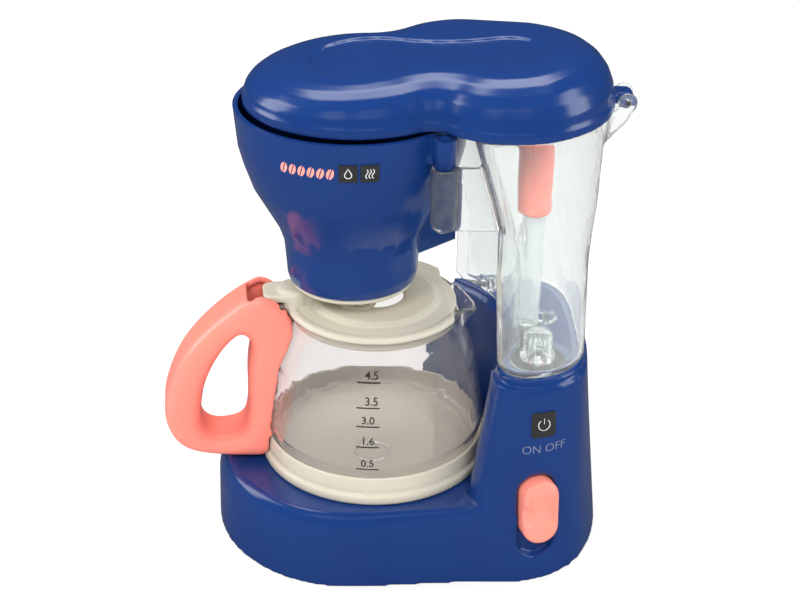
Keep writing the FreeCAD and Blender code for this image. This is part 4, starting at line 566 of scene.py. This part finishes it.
for number in range(6):
    mark = bean(f"bean_{number + 1}", half_width=1.45, half_height=2.3, half_gap=0.22, slant=-18)
    angle = -122.9 + number * 4.72
    settle(mark, around(FUNNEL_AXIS, angle, reach=50, height=183.9), "filter_funnel")
    belongs(mark, "funnel", print_salmon)

# Marks on the three tiles

on_tile(stroke("drop_mark", drop_points(), closed=True), "funnel_label_left", "funnel")
steam = [stroke(f"steam_{n}", steam_points(x)) for n, x in enumerate((-1.2, 0, 1.2))]
on_tile(merged("steam_mark", steam), "funnel_label_right", "funnel")
power = merged("power_mark", [
    stroke("power_ring", arc_points(2.5, 38, 322)),
    stroke("power_bar", [(0, 0.4), (0, 3.1)]),
])
on_tile(power, "column_label", "housing")

# The switch's words, on a column face that is turned by two degrees

words = lettering("switch_words", "ON OFF", 3.6, thicker=-0.08)
settle(words, ((55.1, -62, 63.1), Matrix.Rotation(math.radians(2), 3, "Z")), "base_shell")
belongs(words, "housing", print_grey)

# The jug's scale: for each line its height, its number and how far round the number stands

SCALE_ANGLE = -93.6
SCALE_REACH = 56
SCALE = (
    (89.5, "4.5", 1.8),
    (79.5, "3.5", 1.8),
    (71.3, "3.0", 0),
    (62.2, "1.6", 0),
    (52.0, "0.5", 0),
)
for height, number, aside in SCALE:
    line = bar(f"line_{number}", 4.75, 0.3)
    settle(line, around(JUG_AXIS, SCALE_ANGLE, SCALE_REACH, height), "carafe_glass", lift=0.08)
    belongs(line, "jug", print_dark)
    digits = lettering(f"scale_{number}", number, 3.2, thicker=0.05)
    place = around(JUG_AXIS, SCALE_ANGLE + aside, SCALE_REACH, height + 2.6)
    settle(digits, place, "carafe_glass", lift=0.08)
    belongs(digits, "jug", print_dark)


# Small turned forms: the cup on the jug's lid, and the round mark on the jug's floor

drip_cup = turned_piece("drip_cup", [
    (4.2, 109.4), (7.9, 109.4), (7.9, 110.8), (7.6, 111.2), (7.0, 111.4), (6.2, 111.2),
    (5.8, 110.7), (4.2, 110.0), (4.2, 109.4),
], x=-22.6, y=-8.2)
belongs(drip_cup, "jug_lid", cream)
gate_mark = turned_piece("jug_gate_mark", [
    (6.6, 39.82), (7.8, 39.82), (7.6, 40.05), (7.2, 40.15), (6.8, 40.05), (6.6, 39.82),
], x=-16.1, y=-15.2, steps=48)
belongs(gate_mark, "jug", jug_clear)


# Lights, in metres and watts. The soft ones leave no reflection, and the windows leave a small one.

LIGHTS_AIM = Vector((0.0, 0.0, 0.1))
LEFT_WINDOW = (-0.42, -0.85, 0.95)
RIGHT_WINDOW = (0.24, -0.88, 0.95)


def area_light(name, place, size, power, reflected=True):
    lamp = bpy.data.lights.new(name, "AREA")
    lamp.shape = "RECTANGLE"
    lamp.size, lamp.size_y = size
    lamp.energy = power
    item = bpy.data.objects.new(name, lamp)
    bpy.context.scene.collection.objects.link(item)
    item.location = place
    item.rotation_euler = (LIGHTS_AIM - Vector(place)).to_track_quat("-Z", "Y").to_euler()
    item.visible_glossy = reflected


area_light("soft_left", LEFT_WINDOW, (0.5, 0.4), 6.5, reflected=False)
area_light("soft_right", RIGHT_WINDOW, (0.5, 0.4), 5.5, reflected=False)
area_light("window_left", LEFT_WINDOW, (0.16, 0.2), 1.3)
area_light("window_right", RIGHT_WINDOW, (0.14, 0.2), 1.1)
area_light("side_left", (-0.95, 0.1, 0.6), (0.5, 0.8), 6.0)
area_light("side_right", (0.95, -0.1, 0.5), (0.4, 0.8), 4.0)
area_light("ceiling", (0.0, 0.35, 1.1), (0.9, 0.5), 7.0)


# Room: white to the camera and through clear plastic, dim in reflections and as light

world = bpy.data.worlds.new("white_room")
bpy.context.scene.world = world
room = NodeTree(world)
strength = room.ray("Camera").at_least(room.ray("Transmission"))
strength = strength.at_least(room.ray("Glossy") * 0.06)
strength = strength.at_least(room.ray("Diffuse") * 0.5)
sky = room.add(
    "ShaderNodeBackground", None, {"Color": (1.0, 1.0, 1.0, 1.0), "Strength": strength}
)
room.links.new(sky.socket, room.nodes.new("ShaderNodeOutputWorld").inputs["Surface"])

bpy.ops.object.select_all(action="DESELECT")
bpy.ops.mesh.primitive_plane_add(size=6.0, location=(0, 0, 0))
floor = bpy.context.object
floor.name = "pale_floor"
f = Finish("pale_floor")
mottle = f.noise(scale=3.0, detail=2.0)
pale = f.matt(f.tones(mottle, (0.88, 0.88, 0.88), (0.9, 0.9, 0.9)))
underfoot = f.mixed(f.ray("Glossy"), pale, f.matt((0.1, 0.1, 0.1)))
white = f.add("ShaderNodeEmission", None, {"Color": (1, 1, 1, 1), "Strength": 1.0}, "Emission")
whitened = (f.ray("Camera") * 0.6 + f.ray("Transmission")).clipped()
paint(floor, f.finish(f.mixed(whitened, underfoot, white)))


# Camera, at the place and angle from which the toy was photographed

yaw, pitch, roll = (math.radians(a) for a in (1.07, 28.4, 0.79))
ahead = Vector((
    math.sin(yaw) * math.cos(pitch), math.cos(yaw) * math.cos(pitch), -math.sin(pitch)
))
right = Vector((math.cos(yaw), -math.sin(yaw), 0.0))
upward = right.cross(ahead)
turned_right = math.cos(roll) * right + math.sin(roll) * upward
turned_up = -math.sin(roll) * right + math.cos(roll) * upward
axes = Matrix((turned_right, turned_up, -ahead)).transposed().to_4x4()
eye = bpy.data.cameras.new("front_camera")
eye.lens = 67.5
eye.sensor_width = 36.0
eye.clip_start = 0.01
camera = bpy.data.objects.new("front_camera", eye)
bpy.context.scene.collection.objects.link(camera)
camera.matrix_world = Matrix.Translation((-0.015, -0.5606, 0.40935)) @ axes
bpy.context.scene.camera = camera

bpy.context.scene.view_settings.view_transform = "Standard"
